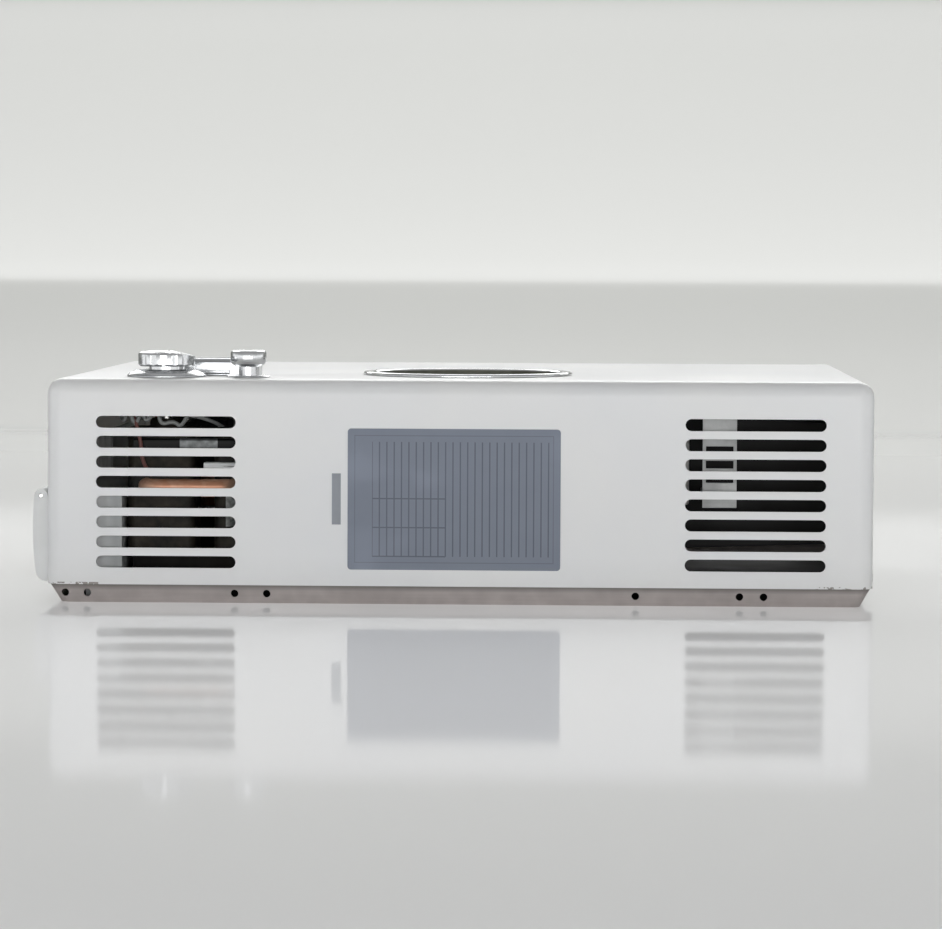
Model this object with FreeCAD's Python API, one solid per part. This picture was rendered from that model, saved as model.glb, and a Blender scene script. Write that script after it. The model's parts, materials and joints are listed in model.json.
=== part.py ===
import FreeCAD, Part
import math
import os

from FreeCAD import Vector

# Portable gas water heater lying on its back, in millimetres.
# Origin: centre of the back pan's underside. +Z: the front face. +X: the top end. -Y: the near long side.

# Casing
COVER_LENGTH = 372.0
COVER_WIDTH = 290.0
FRONT_FACE_Z = 101.0
COVER_EDGE_Z = 8.3
COVER_WALL = 0.8
COVER_RADIUS = 7.0
PAN_WALL = 1.0
PAN_LIP_Z = 14.0
PAN_GAP = 0.2
PAN_TAPER_BOTTOM_END = 4.8
PAN_TAPER_TOP_END = 4.5
PAN_TAPER_SIDE = 2.4
PAN_HOLE_RADIUS = 1.7
PAN_HOLE_Z = 4.4
PAN_HOLES_X = (-177.6, -167.6, -101.0, -86.5, 79.5, 126.2, 137.0)

# Vents in both long sides
VENT_ROWS = 8
VENT_PITCH = 9.0
VENT_LENGTH = 63.0
VENT_HEIGHT = 5.4
VENT_LOWEST_Z = 18.6
VENT_X = (-131.9, 133.0)

# Screws that hold the cover to the pan, and the wall mounting holes
SCREW_RADIUS = 2.0
SCREW_HEAD_RADIUS = 4.0
SCREW_HEAD_HEIGHT = 2.2
SCREW_LENGTH = 9.0
SCREW_GAP = 0.15
SCREW_Z = 11.2
SCREW_TOP_INSET = 40.0
SCREW_BOTTOM_INSET = 12.4
WALL_HOLE_RADIUS = 3.0
WALL_HOLE_SPACING = 200.0
WALL_HOLE_X = -150.0
KEYHOLE_X = 150.0
KEYHOLE_RADIUS = 6.0
KEYHOLE_SLOT_RADIUS = 2.75
KEYHOLE_LENGTH = 14.0

# Labels, both blank
PLATE_LENGTH = 95.6
PLATE_HEIGHT = 63.5
PLATE_X = -2.1
PLATE_Z = 47.5
PLATE_THICKNESS = 0.3
STICKER_WIDTH = 4.0
STICKER_HEIGHT = 23.0
STICKER_X = -55.0

# Round window
WINDOW_FROM_SIDE = 84.0
WINDOW_X = 1.0
WINDOW_RING_RADIUS = 49.0
WINDOW_RADIUS = 45.0
WINDOW_RING_RISE = 1.6
WINDOW_DEPTH = 9.0
WINDOW_SLEEVE = 1.0
WINDOW_LIP = 3.0
GLASS_THICKNESS = 3.0
GASKET_THICKNESS = 1.0
GLASS_GAP = 0.1

# Controls
KNOB_FROM_SIDE = 32.0
GAS_KNOB_X = -135.0
GAS_KNOB_RADIUS = 13.0
GAS_KNOB_CAP = 7.4
GAS_NECK_RISE = 0.6
GAS_KNOB_SLOPE = 2.2
GAS_NECK_RADIUS = 8.0
GAS_SKIRT_RADIUS = 18.0
GAS_SKIRT_TOP_RADIUS = 12.6
GAS_SKIRT_HEIGHT = 3.4
FLOW_KNOB_X = -97.5
FLOW_KNOB_RADIUS = 8.2
FLOW_KNOB_CAP = 7.5
FLOW_NECK_RADIUS = 4.4
FLOW_NECK_HEIGHT = 4.8
FLOW_PLATE_RADIUS = 10.0
FLOW_PLATE_HEIGHT = 0.8
SPINDLE_RADIUS = 3.0
SPINDLE_GAP = 0.05
SPINDLE_DEPTH = 20.0
TURN_GAP = 0.3
FLUTES = 16
FLUTE_RADIUS = 3.0
FLUTE_DEPTH = 0.35
BEZEL_WIDTH = 50.0
BEZEL_DEPTH = 20.0
BEZEL_RISE = 8.0
BEZEL_X = -119.5
BEZEL_BEHIND_KNOBS = 29.0
BEZEL_EDGE = 2.2
BEZEL_FRAME = 3.0
BEZEL_SLIT_LOW = 1.0
BEZEL_SLIT_HEIGHT = 1.6
BEZEL_SLIT_DEPTH = 3.0
BEZEL_SLIT_X = -113.7
BEZEL_SLIT_WIDTH = 11.0
LENS_THICKNESS = 1.2

# Battery box at the bottom end
BOX_OUT = 7.5
BOX_IN_X = -153.0
BOX_WALL = 1.6
BOX_LOW_Z = 8.9
BOX_HEIGHT = 41.5
BOX_FROM_SIDE = 11.0
CELL_RADIUS = 16.5
CELL_LENGTH = 60.0
CELL_GAP = 0.2
CONTACT_ROOM = 4.0
DOOR_WALL = 2.0
DOOR_PIN_RADIUS = 1.0
DOOR_PIN_GAP = 0.08
DOOR_BARREL_RADIUS = 3.0
DOOR_BULGE = 0.6
DOOR_GAP = 0.3
EAR = 3.0
EAR_INSET = 8.0
BOX_MOUTH_SET = 0.1

# Water and gas fittings at the bottom end
FITTING_PLATE_X = -175.0
FITTING_PLATE_WALL = 1.2
FITTING_PLATE_TOP = 72.0
FITTING_OUT = 18.0
FITTING_Z = 35.0
WATER_THREAD_RADIUS = 10.48
GAS_THREAD_RADIUS = 7.94
WATER_BORE_RADIUS = 7.0
GAS_BORE_RADIUS = 4.0
NUT_THICKNESS = 4.0
FLANGE_THICKNESS = 6.0
FITTING_TAIL = 6.0
THREAD_GAP = 0.15
THREAD_RELIEF = 0.3
GAS_FROM_BOX = 24.6
HOT_FROM_SIDE = 33.0
NOTCH_BEYOND = 15.0

# Valves behind the knobs
VALVE_DEPTH = 30.0
VALVE_BEFORE_KNOBS = 14.0
VALVE_LOW_Z = 22.0
VALVE_TOP_Z = 78.0
GAS_VALVE_X0 = -151.5
GAS_VALVE_X1 = -120.5
WATER_VALVE_X0 = -112.0
WATER_VALVE_X1 = -84.0
VALVE_EDGE = 4.0
ROD_Z = 40.0
ROD_RADIUS = 2.0
ROD_GAP = 0.05
CHAMBER_RADIUS = 8.0
CHAMBER_X1 = -126.0
TIE_BAR_Z = 71.0
TIE_BAR_HEIGHT = 5.0
TIE_BAR_THICKNESS = 3.0
SOLENOID_RADIUS = 10.0
SOLENOID_LENGTH = 26.0
SOLENOID_Z = 62.0
SWITCH_LENGTH = 20.0
SWITCH_HEIGHT = 11.0
SWITCH_DEPTH = 7.0
SWITCH_Z = 63.5
POPPET_RADIUS = 6.0
POPPET_THICKNESS = 2.7
PLUG_THICKNESS = 6.0
DIAPHRAGM_RADIUS = 12.0
DIAPHRAGM_THICKNESS = 1.5
DIAPHRAGM_ROOM = 10.0
DIAPHRAGM_COVER = 6.0
REST_GAP = 0.3

# Burner, exchanger and flue
CHAMBER_TOP_Z = 85.0
CHAMBER_LOW_Z = 22.0
CHAMBER_HALF_WIDTH = 95.0
SHEET = 0.8
FOOT_WIDTH = 10.0
BURNER_X0 = -75.0
BURNER_X1 = -20.0
EXCHANGER_X1 = 75.0
BURNER_BARS = 8
BURNER_PITCH = 21.0
BURNER_BAR_WIDTH = 9.0
BURNER_BAR_HEIGHT = 44.0
BURNER_BAR_INSET = 4.0
BURNER_BAR_SHORT = 14.0
MOUTH_RADIUS = 2.6
MANIFOLD_X = -84.0
MANIFOLD_SIZE = 11.0
MANIFOLD_Z = 51.0
FIN_COUNT = 12
FIN_THICKNESS = 0.6
FIN_X0 = 34.0
FIN_TUBE_RADIUS = 6.0
FLUE_HALF_WIDTH = 72.0
FLUE_LOW_Z = 27.0
FLUE_TOP_Z = 76.0
GRILLE_BARS = 11
GRILLE_EDGE = 5.0
SHIELD_X0 = 8.0
BRACKET_X0 = 109.6
BRACKET_WIDTH = 15.4
BRACKET_FROM_SIDE = 16.0
BRACKET_TOP_Z = 86.0
BRACKET_LOW_Z = 43.5
BRACKET_ARM_Z = 49.0
BRACKET_WALL = 1.2
BRACKET_HOLES_Z = (56.6, 63.1, 69.6)
BRACKET_HOLE_HEIGHT = 3.4
BRACKET_HOLE_EDGE = 1.5

# Ignition control unit, on the pan behind the far vents
IGNITER_X0 = -158.0
IGNITER_LENGTH = 68.0
IGNITER_DEPTH = 19.0
IGNITER_HEIGHT = 82.0
IGNITER_FROM_SIDE = 7.0
TERMINALS = 4

# Pipes
WATER_PIPE_RADIUS = 5.5
GAS_PIPE_RADIUS = 4.0
GAS_BEND = 14.0
WATER_BEND = 16.0
HOT_BEND = 13.0
RAIL_BEND = 12.0
RAIL_PIPE_RUN = 37.0
FEED_PIPE_RADIUS = 5.0
FEED_BEND = 9.0
FEED_INSET = 8.0
FEED_STANDOFF = 9.5
FEED_Z = 31.0
LINK_BEND = 6.5
LINK_INSET = 9.0
LINK_STANDOFF = 9.0
LINK_Z = 52.0
LINK_PIPE_RADIUS = 3.5

# Worked out from the sizes above
END_X = COVER_LENGTH / 2
SIDE_Y = COVER_WIDTH / 2
IN_X = END_X - COVER_WALL
IN_Y = SIDE_Y - COVER_WALL
IN_Z = FRONT_FACE_Z - COVER_WALL
WINDOW_Y = -SIDE_Y + WINDOW_FROM_SIDE
KNOB_Y = -SIDE_Y + KNOB_FROM_SIDE
BEZEL_Y = KNOB_Y + BEZEL_BEHIND_KNOBS
SCREW_TOP_Y = SIDE_Y - SCREW_TOP_INSET
SCREW_BOTTOM_Y = SIDE_Y - SCREW_BOTTOM_INSET
BRACKET_Y = -SIDE_Y + BRACKET_FROM_SIDE
BOX_Y0 = -SIDE_Y + BOX_FROM_SIDE
BOX_LENGTH = 2 * CELL_LENGTH + 2 * CONTACT_ROOM + 2 * BOX_WALL + CELL_GAP
BOX_X0 = -END_X - BOX_OUT
BOX_TOP_Z = BOX_LOW_Z + BOX_HEIGHT
BOX_Y1 = BOX_Y0 + BOX_LENGTH
VALVE_NEAR_Y = KNOB_Y - VALVE_BEFORE_KNOBS
GAS_Y = BOX_Y1 + GAS_FROM_BOX
HOT_Y = SIDE_Y - HOT_FROM_SIDE
COLD_Y = (GAS_Y + HOT_Y) / 2
FAR_VALVE_Y = VALVE_NEAR_Y + VALVE_DEPTH
DOOR_PIN_X = BOX_X0 + DOOR_BARREL_RADIUS + DOOR_BULGE
DOOR_PIN_Z = BOX_TOP_Z - DOOR_BARREL_RADIUS
BOX_MOUTH_X = -END_X + BOX_MOUTH_SET


def box(x0, x1, y0, y1, z0, z1):
    return Part.makeBox(x1 - x0, y1 - y0, z1 - z0, Vector(x0, y0, z0))


def rod(radius, start, direction, length):
    return Part.makeCylinder(radius, length, Vector(*start), Vector(*direction))


def tube(outer, inner, start, direction, length):
    return rod(outer, start, direction, length).cut(rod(inner, start, direction, length))


def turned(profile, at, direction=(0, 0, 1)):
    """A solid of revolution from (radius, height) corners, standing at a point along a direction."""
    points = [Vector(radius, 0, height) for radius, height in profile]
    face = Part.Face(Part.makePolygon(points + points[:1]))
    solid = face.revolve(Vector(0, 0, 0), Vector(0, 0, 1), 360)
    turn = FreeCAD.Rotation(Vector(0, 0, 1), Vector(*direction))
    solid.Placement = FreeCAD.Placement(Vector(*at), turn)
    return solid


def rounded(shape, radius, keep):
    """The shape with those edges filleted that keep(edge) accepts."""
    return shape.makeFillet(radius, [edge for edge in shape.Edges if keep(edge)])


def along(edge, axis):
    """True for a straight edge that runs along an axis."""
    if not isinstance(edge.Curve, Part.Line):
        return False
    return abs(abs(edge.tangentAt(edge.FirstParameter).dot(Vector(*axis))) - 1) < 1e-6


def slot(length, height, centre, depth):
    """A round-ended slot cutter: long in X, cut along Y from -depth to +depth."""
    x, z = centre
    half = length / 2 - height / 2
    radius = height / 2
    middle = box(x - half, x + half, -depth, depth, z - radius, z + radius)
    ends = [rod(radius, (x + side * half, -depth, z), (0, 1, 0), 2 * depth) for side in (-1, 1)]
    return middle.multiFuse(ends).removeSplitter()


def hexagon(across, start, direction, length):
    """A hexagonal bar, as a nut's or a flange's flats."""
    corner = across / math.sqrt(3)
    turns = [math.radians(60 * i) for i in range(6)]
    points = [Vector(corner * math.cos(a), corner * math.sin(a), 0) for a in turns]
    face = Part.Face(Part.makePolygon(points + points[:1]))
    solid = face.extrude(Vector(0, 0, length))
    turn = FreeCAD.Rotation(Vector(0, 0, 1), Vector(*direction))
    solid.Placement = FreeCAD.Placement(Vector(*start), turn)
    return solid


def bent_pipe(radius, points, bend):
    """A round pipe along straight runs that tangent arcs of one bend radius join."""
    corners = [Vector(*point) for point in points]
    edges = []
    start = corners[0]
    for before, corner, after in zip(corners, corners[1:], corners[2:]):
        into = (corner - before).normalize()
        out = (after - corner).normalize()
        half = into.getAngle(out) / 2
        reach = bend * math.tan(half)
        first = corner - into * reach
        last = corner + out * reach
        inward = (out - into).normalize()
        middle = corner + inward * (bend / math.cos(half) - bend)
        if (first - start).Length > 1e-6:
            edges.append(Part.LineSegment(start, first).toShape())
        edges.append(Part.Arc(first, middle, last).toShape())
        start = last
    edges.append(Part.LineSegment(start, corners[-1]).toShape())
    heading = (corners[1] - corners[0]).normalize()
    ring = Part.Wire(Part.makeCircle(radius, corners[0], heading))
    pipe = Part.Wire(edges).makePipeShell([ring], True, False)
    return pipe if pipe.Volume > 0 else pipe.reversed()


def rounded_rectangle(x0, x1, y0, y1, z, radius):
    face = Part.Face(Part.makePolygon([Vector(x0, y0, z), Vector(x1, y0, z), Vector(x1, y1, z),
                                       Vector(x0, y1, z), Vector(x0, y0, z)]))
    block = face.extrude(Vector(0, 0, 1))
    block = rounded(block, radius, lambda edge: along(edge, (0, 0, 1)))
    low = [face for face in block.Faces if abs(face.CenterOfMass.z - z) < 1e-6]
    return low[0].OuterWire


def save(name, shape):
    solids = shape.Solids
    if not solids or not all(solid.isValid() and solid.Volume > 0 for solid in solids):
        raise ValueError("bad solid in " + name)
    kept = solids[0] if len(solids) == 1 else Part.makeCompound(solids)
    kept.exportStep("parts/" + name + ".step")
    print(name, len(solids), round(sum(solid.Volume for solid in solids), 1))


# Casing
def drawn_pan(grow, top):
    """The cover's outer or inner surface as a solid, open downwards past its edge."""
    body = box(-END_X + grow, END_X - grow, -SIDE_Y + grow, SIDE_Y - grow, COVER_EDGE_Z, top)
    radius = COVER_RADIUS - grow

    def is_rounded(edge):
        return along(edge, (0, 0, 1)) or abs(edge.CenterOfMass.z - top) < 1e-6
    return rounded(body, radius, is_rounded)


def screw_places():
    """Where the cover's screws enter the two end walls: point on the wall and inward direction."""
    top = [((END_X, side * SCREW_TOP_Y, SCREW_Z), (-1, 0, 0)) for side in (-1, 1)]
    bottom = [((-END_X, side * SCREW_BOTTOM_Y, SCREW_Z), (1, 0, 0)) for side in (1,)]
    return top + bottom


def front_cover():
    shell = drawn_pan(0, FRONT_FACE_Z).cut(drawn_pan(COVER_WALL, IN_Z))
    cutters = []
    for centre in VENT_X:
        for row in range(VENT_ROWS):
            z = VENT_LOWEST_Z + row * VENT_PITCH
            cutters.append(slot(VENT_LENGTH, VENT_HEIGHT, (centre, z), SIDE_Y + 1))
    cutters.append(rod(WINDOW_RADIUS + GLASS_GAP, (WINDOW_X, WINDOW_Y, IN_Z - 1), (0, 0, 1), 3))
    for x in (GAS_KNOB_X, FLOW_KNOB_X):
        cutters.append(rod(SPINDLE_RADIUS + TURN_GAP, (x, KNOB_Y, IN_Z - 1), (0, 0, 1), 3))
    cutters.append(box(-END_X - 1, -IN_X + 1, BOX_Y0 - DOOR_GAP, BOX_Y1 + DOOR_GAP,
                       COVER_EDGE_Z - 1, BOX_TOP_Z + DOOR_GAP))
    cutters.append(box(-END_X - 1, -IN_X + 1, BOX_Y1 + 6, HOT_Y + NOTCH_BEYOND, COVER_EDGE_Z - 1,
                       FITTING_PLATE_TOP - 10))
    cutters.append(box(IN_X - 1, END_X + 1, -FLUE_HALF_WIDTH, FLUE_HALF_WIDTH, FLUE_LOW_Z, FLUE_TOP_Z))
    for at, inward in screw_places():
        start = tuple(a - 2 * d for a, d in zip(at, inward))
        cutters.append(rod(SCREW_RADIUS + SCREW_GAP, start, inward, 5))
    return shell.cut(Part.makeCompound(cutters))


def pan_surface(grow, low, high):
    """The back pan's outer or inner surface: a tray that tapers out to a lip inside the cover."""
    top_x = IN_X - PAN_GAP - grow
    top_y = IN_Y - PAN_GAP - grow
    radius = COVER_RADIUS - COVER_WALL - PAN_GAP - grow
    floor_wire = rounded_rectangle(-top_x + PAN_TAPER_BOTTOM_END, top_x - PAN_TAPER_TOP_END,
                                   -top_y + PAN_TAPER_SIDE, top_y - PAN_TAPER_SIDE, low, radius)
    rim = rounded_rectangle(-top_x, top_x, -top_y, top_y, COVER_EDGE_Z, radius)
    taper = Part.makeLoft([floor_wire, rim], True, True)
    lip = Part.Face(rim).extrude(Vector(0, 0, high - COVER_EDGE_Z))
    return taper.fuse(lip).removeSplitter()


def back_pan():
    pan = pan_surface(0, 0, PAN_LIP_Z).cut(pan_surface(PAN_WALL, PAN_WALL, PAN_LIP_Z + 1))
    cutters = []
    for x in PAN_HOLES_X:
        cutters.append(rod(PAN_HOLE_RADIUS, (x, -SIDE_Y - 1, PAN_HOLE_Z), (0, 1, 0), 8))
    for side in (-1, 1):
        y = side * WALL_HOLE_SPACING / 2
        cutters.append(rod(WALL_HOLE_RADIUS, (WALL_HOLE_X, y, -1), (0, 0, 1), 3))
    cutters.append(rod(KEYHOLE_RADIUS, (KEYHOLE_X - KEYHOLE_LENGTH, 0, -1), (0, 0, 1), 3))
    cutters.append(rod(KEYHOLE_SLOT_RADIUS, (KEYHOLE_X, 0, -1), (0, 0, 1), 3))
    cutters.append(box(KEYHOLE_X - KEYHOLE_LENGTH, KEYHOLE_X, -KEYHOLE_SLOT_RADIUS,
                       KEYHOLE_SLOT_RADIUS, -1, 2))
    cutters.append(box(-END_X - 1, -END_X + 14, BOX_Y0 - DOOR_GAP, BOX_Y1 + DOOR_GAP,
                       COVER_EDGE_Z + REST_GAP, PAN_LIP_Z + 1))
    cutters.append(box(-END_X - 1, -END_X + 14, BOX_Y1 + 6, HOT_Y + NOTCH_BEYOND, COVER_EDGE_Z + REST_GAP,
                       PAN_LIP_Z + 1))
    for at, inward in screw_places():
        cutters.append(rod(SCREW_RADIUS + SCREW_GAP, at, inward, 5))
    return pan.cut(Part.makeCompound(cutters))


def cover_screws():
    """Pan-head screws, each with a cross recess."""
    half = SCREW_HEAD_RADIUS * 0.6
    screws = []
    for at, inward in screw_places():
        out = tuple(-d for d in inward)
        head = rod(SCREW_HEAD_RADIUS, at, out, SCREW_HEAD_HEIGHT)
        tip = at[0] + out[0] * SCREW_HEAD_HEIGHT
        far_rim = [edge for edge in head.Edges
                   if isinstance(edge.Curve, Part.Circle) and abs(edge.CenterOfMass.x - tip) < 1e-6]
        head = head.makeChamfer(SCREW_HEAD_HEIGHT * 0.4, far_rim)
        deep = sorted((tip, tip - out[0] * SCREW_HEAD_HEIGHT * 0.6))
        for wide_y, wide_z in ((half, 0.5), (0.5, half)):
            head = head.cut(box(deep[0] - 0.01, deep[1] + 0.01, at[1] - wide_y, at[1] + wide_y,
                                at[2] - wide_z, at[2] + wide_z))
        screws.append(head.fuse(rod(SCREW_RADIUS, at, inward, SCREW_LENGTH)).removeSplitter())
    return Part.makeCompound(screws)


def side_label(x, z, width, height):
    """A thin plate with rounded corners on the near long side."""
    plate = box(x - width / 2, x + width / 2, -SIDE_Y - PLATE_THICKNESS, -SIDE_Y,
                z - height / 2, z + height / 2)
    return rounded(plate, min(width, height) / 40, lambda edge: along(edge, (0, 1, 0)))


# Round window
def window_ring():
    """A rim with rolled edges on the front face, and a sleeve whose lip carries the gasket and the glass."""
    sleeve = WINDOW_RADIUS
    inner = sleeve - WINDOW_SLEEVE
    rise = WINDOW_RING_RISE
    edge = rise * 0.4
    profile = [(inner - WINDOW_LIP, -WINDOW_DEPTH), (sleeve, -WINDOW_DEPTH), (sleeve, 0),
               (WINDOW_RING_RADIUS, 0), (WINDOW_RING_RADIUS, rise - edge), (WINDOW_RING_RADIUS - edge, rise),
               (inner + edge, rise), (inner, rise - edge), (inner, -WINDOW_DEPTH + WINDOW_SLEEVE),
               (inner - WINDOW_LIP, -WINDOW_DEPTH + WINDOW_SLEEVE)]
    return turned(profile, (WINDOW_X, WINDOW_Y, FRONT_FACE_Z))


def window_gasket():
    seat = FRONT_FACE_Z - WINDOW_DEPTH + WINDOW_SLEEVE
    outer = WINDOW_RADIUS - WINDOW_SLEEVE - GLASS_GAP
    return tube(outer, outer - WINDOW_LIP + GLASS_GAP, (WINDOW_X, WINDOW_Y, seat), (0, 0, 1), GASKET_THICKNESS)


def window_glass():
    seat = FRONT_FACE_Z - WINDOW_DEPTH + WINDOW_SLEEVE + GASKET_THICKNESS
    return rod(WINDOW_RADIUS - WINDOW_SLEEVE - GLASS_GAP, (WINDOW_X, WINDOW_Y, seat), (0, 0, 1), GLASS_THICKNESS)


# Controls
def spindle(x, top):
    low = VALVE_TOP_Z - SPINDLE_DEPTH
    return rod(SPINDLE_RADIUS, (x, KNOB_Y, low + REST_GAP), (0, 0, 1), top - low - REST_GAP)


def gas_knob_skirt():
    hole = GAS_NECK_RADIUS + TURN_GAP
    height = GAS_SKIRT_HEIGHT
    profile = [(hole, 0), (GAS_SKIRT_RADIUS, 0), (GAS_SKIRT_RADIUS, height * 0.25),
               (GAS_SKIRT_RADIUS - height * 0.35, height * 0.55), (GAS_SKIRT_TOP_RADIUS + height * 0.5, height * 0.9),
               (GAS_SKIRT_TOP_RADIUS, height), (hole, height)]
    return turned(profile, (GAS_KNOB_X, KNOB_Y, FRONT_FACE_Z))


def gas_knob():
    """A neck inside the skirt, under a fluted cap whose top slopes down towards its pointer groove."""
    neck = GAS_SKIRT_HEIGHT + TURN_GAP + GAS_NECK_RISE
    top = neck + GAS_KNOB_CAP
    bore = top - 4
    profile = [(SPINDLE_RADIUS, TURN_GAP), (GAS_NECK_RADIUS, TURN_GAP), (GAS_NECK_RADIUS, neck + 0.6),
               (GAS_KNOB_RADIUS - 0.8, neck + 0.6), (GAS_KNOB_RADIUS, neck + 1.6),
               (GAS_KNOB_RADIUS, top - 1.6), (GAS_KNOB_RADIUS - 0.5, top - 0.6),
               (GAS_KNOB_RADIUS - 1.6, top), (GAS_KNOB_RADIUS - 3.4, top),
               (GAS_KNOB_RADIUS - 5, top - 0.7), (0, top - 0.7), (0, bore), (SPINDLE_RADIUS, bore)]
    knob = turned(profile, (GAS_KNOB_X, KNOB_Y, FRONT_FACE_Z))
    cutters = []
    for i in range(FLUTES):
        turn = 2 * math.pi * i / FLUTES
        out = GAS_KNOB_RADIUS + FLUTE_RADIUS - FLUTE_DEPTH
        x = GAS_KNOB_X + out * math.cos(turn)
        y = KNOB_Y + out * math.sin(turn)
        cutters.append(rod(FLUTE_RADIUS, (x, y, FRONT_FACE_Z + neck), (0, 0, 1), GAS_KNOB_CAP - 1.8))
    groove = box(GAS_KNOB_X + 3, GAS_KNOB_X + GAS_KNOB_RADIUS + 1, KNOB_Y - 0.6, KNOB_Y + 0.6,
                 FRONT_FACE_Z + top - GAS_KNOB_SLOPE - 0.8, FRONT_FACE_Z + top + 1)
    high = FRONT_FACE_Z + top
    reach = GAS_KNOB_RADIUS + 1
    wedge = Part.Face(Part.makePolygon([Vector(GAS_KNOB_X, KNOB_Y - reach, high),
                                        Vector(GAS_KNOB_X + reach, KNOB_Y - reach, high - GAS_KNOB_SLOPE),
                                        Vector(GAS_KNOB_X + reach, KNOB_Y - reach, high + 1),
                                        Vector(GAS_KNOB_X, KNOB_Y - reach, high + 1),
                                        Vector(GAS_KNOB_X, KNOB_Y - reach, high)]))
    slope = wedge.extrude(Vector(0, 2 * reach, 0))
    return knob.cut(Part.makeCompound(cutters)).cut(groove).cut(slope)


def flow_knob_plate():
    hole = FLOW_NECK_RADIUS + TURN_GAP
    profile = [(hole, 0), (FLOW_PLATE_RADIUS, 0), (FLOW_PLATE_RADIUS, FLOW_PLATE_HEIGHT / 2),
               (FLOW_PLATE_RADIUS - 0.5, FLOW_PLATE_HEIGHT), (hole, FLOW_PLATE_HEIGHT)]
    return turned(profile, (FLOW_KNOB_X, KNOB_Y, FRONT_FACE_Z))


def flow_knob():
    """A mushroom cap on a slim neck."""
    neck = FLOW_NECK_HEIGHT
    top = neck + FLOW_KNOB_CAP
    bore = top - 3
    radius = FLOW_KNOB_RADIUS
    profile = [(SPINDLE_RADIUS, TURN_GAP), (FLOW_NECK_RADIUS, TURN_GAP), (FLOW_NECK_RADIUS, neck),
               (radius - 2, neck + 0.3), (radius - 0.6, neck + 1.3), (radius, neck + 2.8),
               (radius, top - 1.2), (radius - 0.4, top - 0.4), (radius - 1.2, top), (0, top),
               (0, bore), (SPINDLE_RADIUS, bore)]
    knob = turned(profile, (FLOW_KNOB_X, KNOB_Y, FRONT_FACE_Z))
    groove = box(FLOW_KNOB_X + 1, FLOW_KNOB_X + radius + 1, KNOB_Y - 0.4, KNOB_Y + 0.4,
                 FRONT_FACE_Z + top - 0.6, FRONT_FACE_Z + top + 1)
    return knob.cut(groove)


def display_bezel():
    """A raised silver bar behind the knobs, with a lens pocket on top and a shadow slit low in its near face."""
    x0, x1 = BEZEL_X - BEZEL_WIDTH / 2, BEZEL_X + BEZEL_WIDTH / 2
    y0, y1 = BEZEL_Y - BEZEL_DEPTH / 2, BEZEL_Y + BEZEL_DEPTH / 2
    top = FRONT_FACE_Z + BEZEL_RISE
    block = box(x0, x1, y0, y1, FRONT_FACE_Z, top)
    block = rounded(block, BEZEL_EDGE, lambda edge: abs(edge.CenterOfMass.z - FRONT_FACE_Z) > 1)
    edge = BEZEL_FRAME
    pocket = box(x0 + edge, x1 - edge, y0 + edge, y1 - edge, top - LENS_THICKNESS, top + 1)
    slit_z = FRONT_FACE_Z + BEZEL_SLIT_LOW
    slit = box(BEZEL_SLIT_X - BEZEL_SLIT_WIDTH / 2, BEZEL_SLIT_X + BEZEL_SLIT_WIDTH / 2, y0 - 1, y0 + BEZEL_SLIT_DEPTH, slit_z, slit_z + BEZEL_SLIT_HEIGHT)
    return block.cut(pocket).cut(slit)


def display_lens():
    half_x = BEZEL_WIDTH / 2 - BEZEL_FRAME
    half_y = BEZEL_DEPTH / 2 - BEZEL_FRAME
    x0, x1 = BEZEL_X - half_x, BEZEL_X + half_x
    y0, y1 = BEZEL_Y - half_y, BEZEL_Y + half_y
    top = FRONT_FACE_Z + BEZEL_RISE
    return box(x0 + GLASS_GAP, x1 - GLASS_GAP, y0 + GLASS_GAP, y1 - GLASS_GAP, top - LENS_THICKNESS, top - 0.2)


# Battery box
def ear_places():
    return (BOX_Y0 + EAR_INSET, BOX_Y1 - EAR_INSET - EAR)


def battery_box():
    """A tray for two cells, open towards the bottom end, with ears for the door's pin and feet on the pan."""
    outer = box(BOX_MOUTH_X, BOX_IN_X, BOX_Y0, BOX_Y1, BOX_LOW_Z, BOX_TOP_Z)
    outer = rounded(outer, BOX_WALL, lambda edge: along(edge, (1, 0, 0)))
    inner = box(BOX_MOUTH_X - 1, BOX_IN_X - BOX_WALL, BOX_Y0 + BOX_WALL, BOX_Y1 - BOX_WALL,
                BOX_LOW_Z + BOX_WALL, BOX_TOP_Z - BOX_WALL)
    width = EAR - 2 * DOOR_GAP
    ears = []
    for y in ear_places():
        ear = rod(DOOR_BARREL_RADIUS - DOOR_GAP, (DOOR_PIN_X, y, DOOR_PIN_Z), (0, 1, 0), width)
        web = box(DOOR_PIN_X, BOX_MOUTH_X + 4, y, y + width, DOOR_PIN_Z - DOOR_BARREL_RADIUS + DOOR_GAP,
                  BOX_TOP_Z - 2 * BOX_WALL)
        ears.append(ear.fuse(web))
    feet = [box(BOX_IN_X - 18, BOX_IN_X - 12, y, y + 12, PAN_WALL, BOX_LOW_Z)
            for y in (BOX_Y0 + 12, BOX_Y1 - 24)]
    body = outer.cut(inner).multiFuse(ears + feet).removeSplitter()
    return body.cut(rod(DOOR_PIN_RADIUS, (DOOR_PIN_X, BOX_Y0 + 0.5, DOOR_PIN_Z), (0, 1, 0), BOX_LENGTH - 1))


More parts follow.
